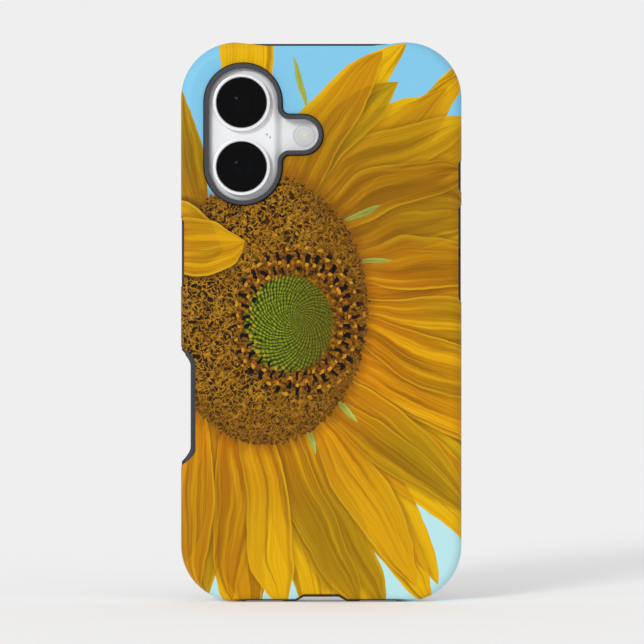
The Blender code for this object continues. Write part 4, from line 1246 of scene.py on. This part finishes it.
def build_world():
    """A pale studio: the backdrop's tone for the camera, and a softer surround for the light."""
    world = bpy.data.worlds.new("studio")
    bpy.context.scene.world = world
    world.use_nodes = True
    graph = Graph(world.node_tree)
    backdrop = world.node_tree.nodes["Background"]
    backdrop.inputs["Color"].default_value = STUDIO_GREY
    direction = graph.node("ShaderNodeTexCoord").outputs["Generated"]
    towards_back = graph.split(direction)[1]
    from_front = graph.span(towards_back, -1.0, -0.75, 0.12, 0.66)
    surround = graph.node("ShaderNodeBackground", {"Color": (1, 1, 1, 1), "Strength": from_front})
    camera_ray = graph.node("ShaderNodeLightPath").outputs["Is Camera Ray"]
    mixed = graph.node("ShaderNodeMixShader", [camera_ray, surround.outputs[0],
                                               backdrop.outputs[0]])
    output = world.node_tree.nodes["World Output"]
    graph.put(output.inputs["Surface"], mixed.outputs[0])


def build_light():
    """One soft key light from the front left, above."""
    light = bpy.data.lights.new("key", "SUN")
    light.energy = 1.45
    light.angle = math.radians(16)
    key = link("key", light)
    travel = Vector((0.42, 0.85, -0.36))
    key.rotation_euler = travel.to_track_quat("-Z", "Y").to_euler()


def build_camera_view():
    """A long lens square-on to the case's back."""
    camera = bpy.data.cameras.new("view")
    camera.sensor_width = 36.0
    camera.lens = camera.sensor_width * CAMERA_DISTANCE / FRAME_WIDTH
    camera.clip_start = 0.01
    camera.clip_end = 20.0
    view = link("view", camera)
    back_plane = SHELL_BACK * MM
    view.location = (CAMERA_X, back_plane - CAMERA_DISTANCE, CAMERA_HEIGHT)
    view.rotation_euler = (math.pi / 2, 0.0, 0.0)
    bpy.context.scene.camera = view


def main():
    build_camera_view()
    build_world()
    build_light()
    build_floor()
    bpy.context.scene.view_settings.view_transform = "Standard"

    inside = moulded("shell_inside", linear(44, 38, 34), 0.5, 0.1, 8.0, 0.2, 0.008)
    build_shell(print_material(), inside)
    build_liner(rubber_material("liner_rubber"))
    build_back_glass(moulded("back_glass", linear(240, 241, 243), 0.22, 0.015, 5.0, 0.05, 0.003,
                             Coat_Weight=0.3))
    lens_glass = glass_material("lens_glass", linear(104, 110, 122))
    finishes = {
        "ring": moulded("lens_ring_metal", linear(248, 248, 249), 0.3, 0.02, 10.0, 0.1, 0.003,
                        Metallic=0.3),
        "cover": lens_glass,
        "mask": moulded("lens_border_ink", linear(6, 6, 8), 0.5, 0.2, 9.0, 0.1, 0.004),
        "barrel": moulded("barrel_plastic", linear(10, 10, 12), 0.5, 0.2, 9.0, 0.3, 0.01),
        # The rear lenses' coloured tints and crescents are painted reflections.
        "element_upper": painted_reflection_lens("lens_coating_reflection_upper", (LENS_X, LENS_Z["upper"]),
                                        linear(60, 44, 36), linear(30, 22, 18)),
        "element_lower": painted_reflection_lens("lens_coating_reflection_lower", (LENS_X, LENS_Z["lower"]),
                                        linear(96, 124, 214), linear(20, 26, 48)),
    }
    for level in LENS_Z:
        build_camera(level, finishes)
    build_flash(flash_material())
    finish_cad_nodes()


main()
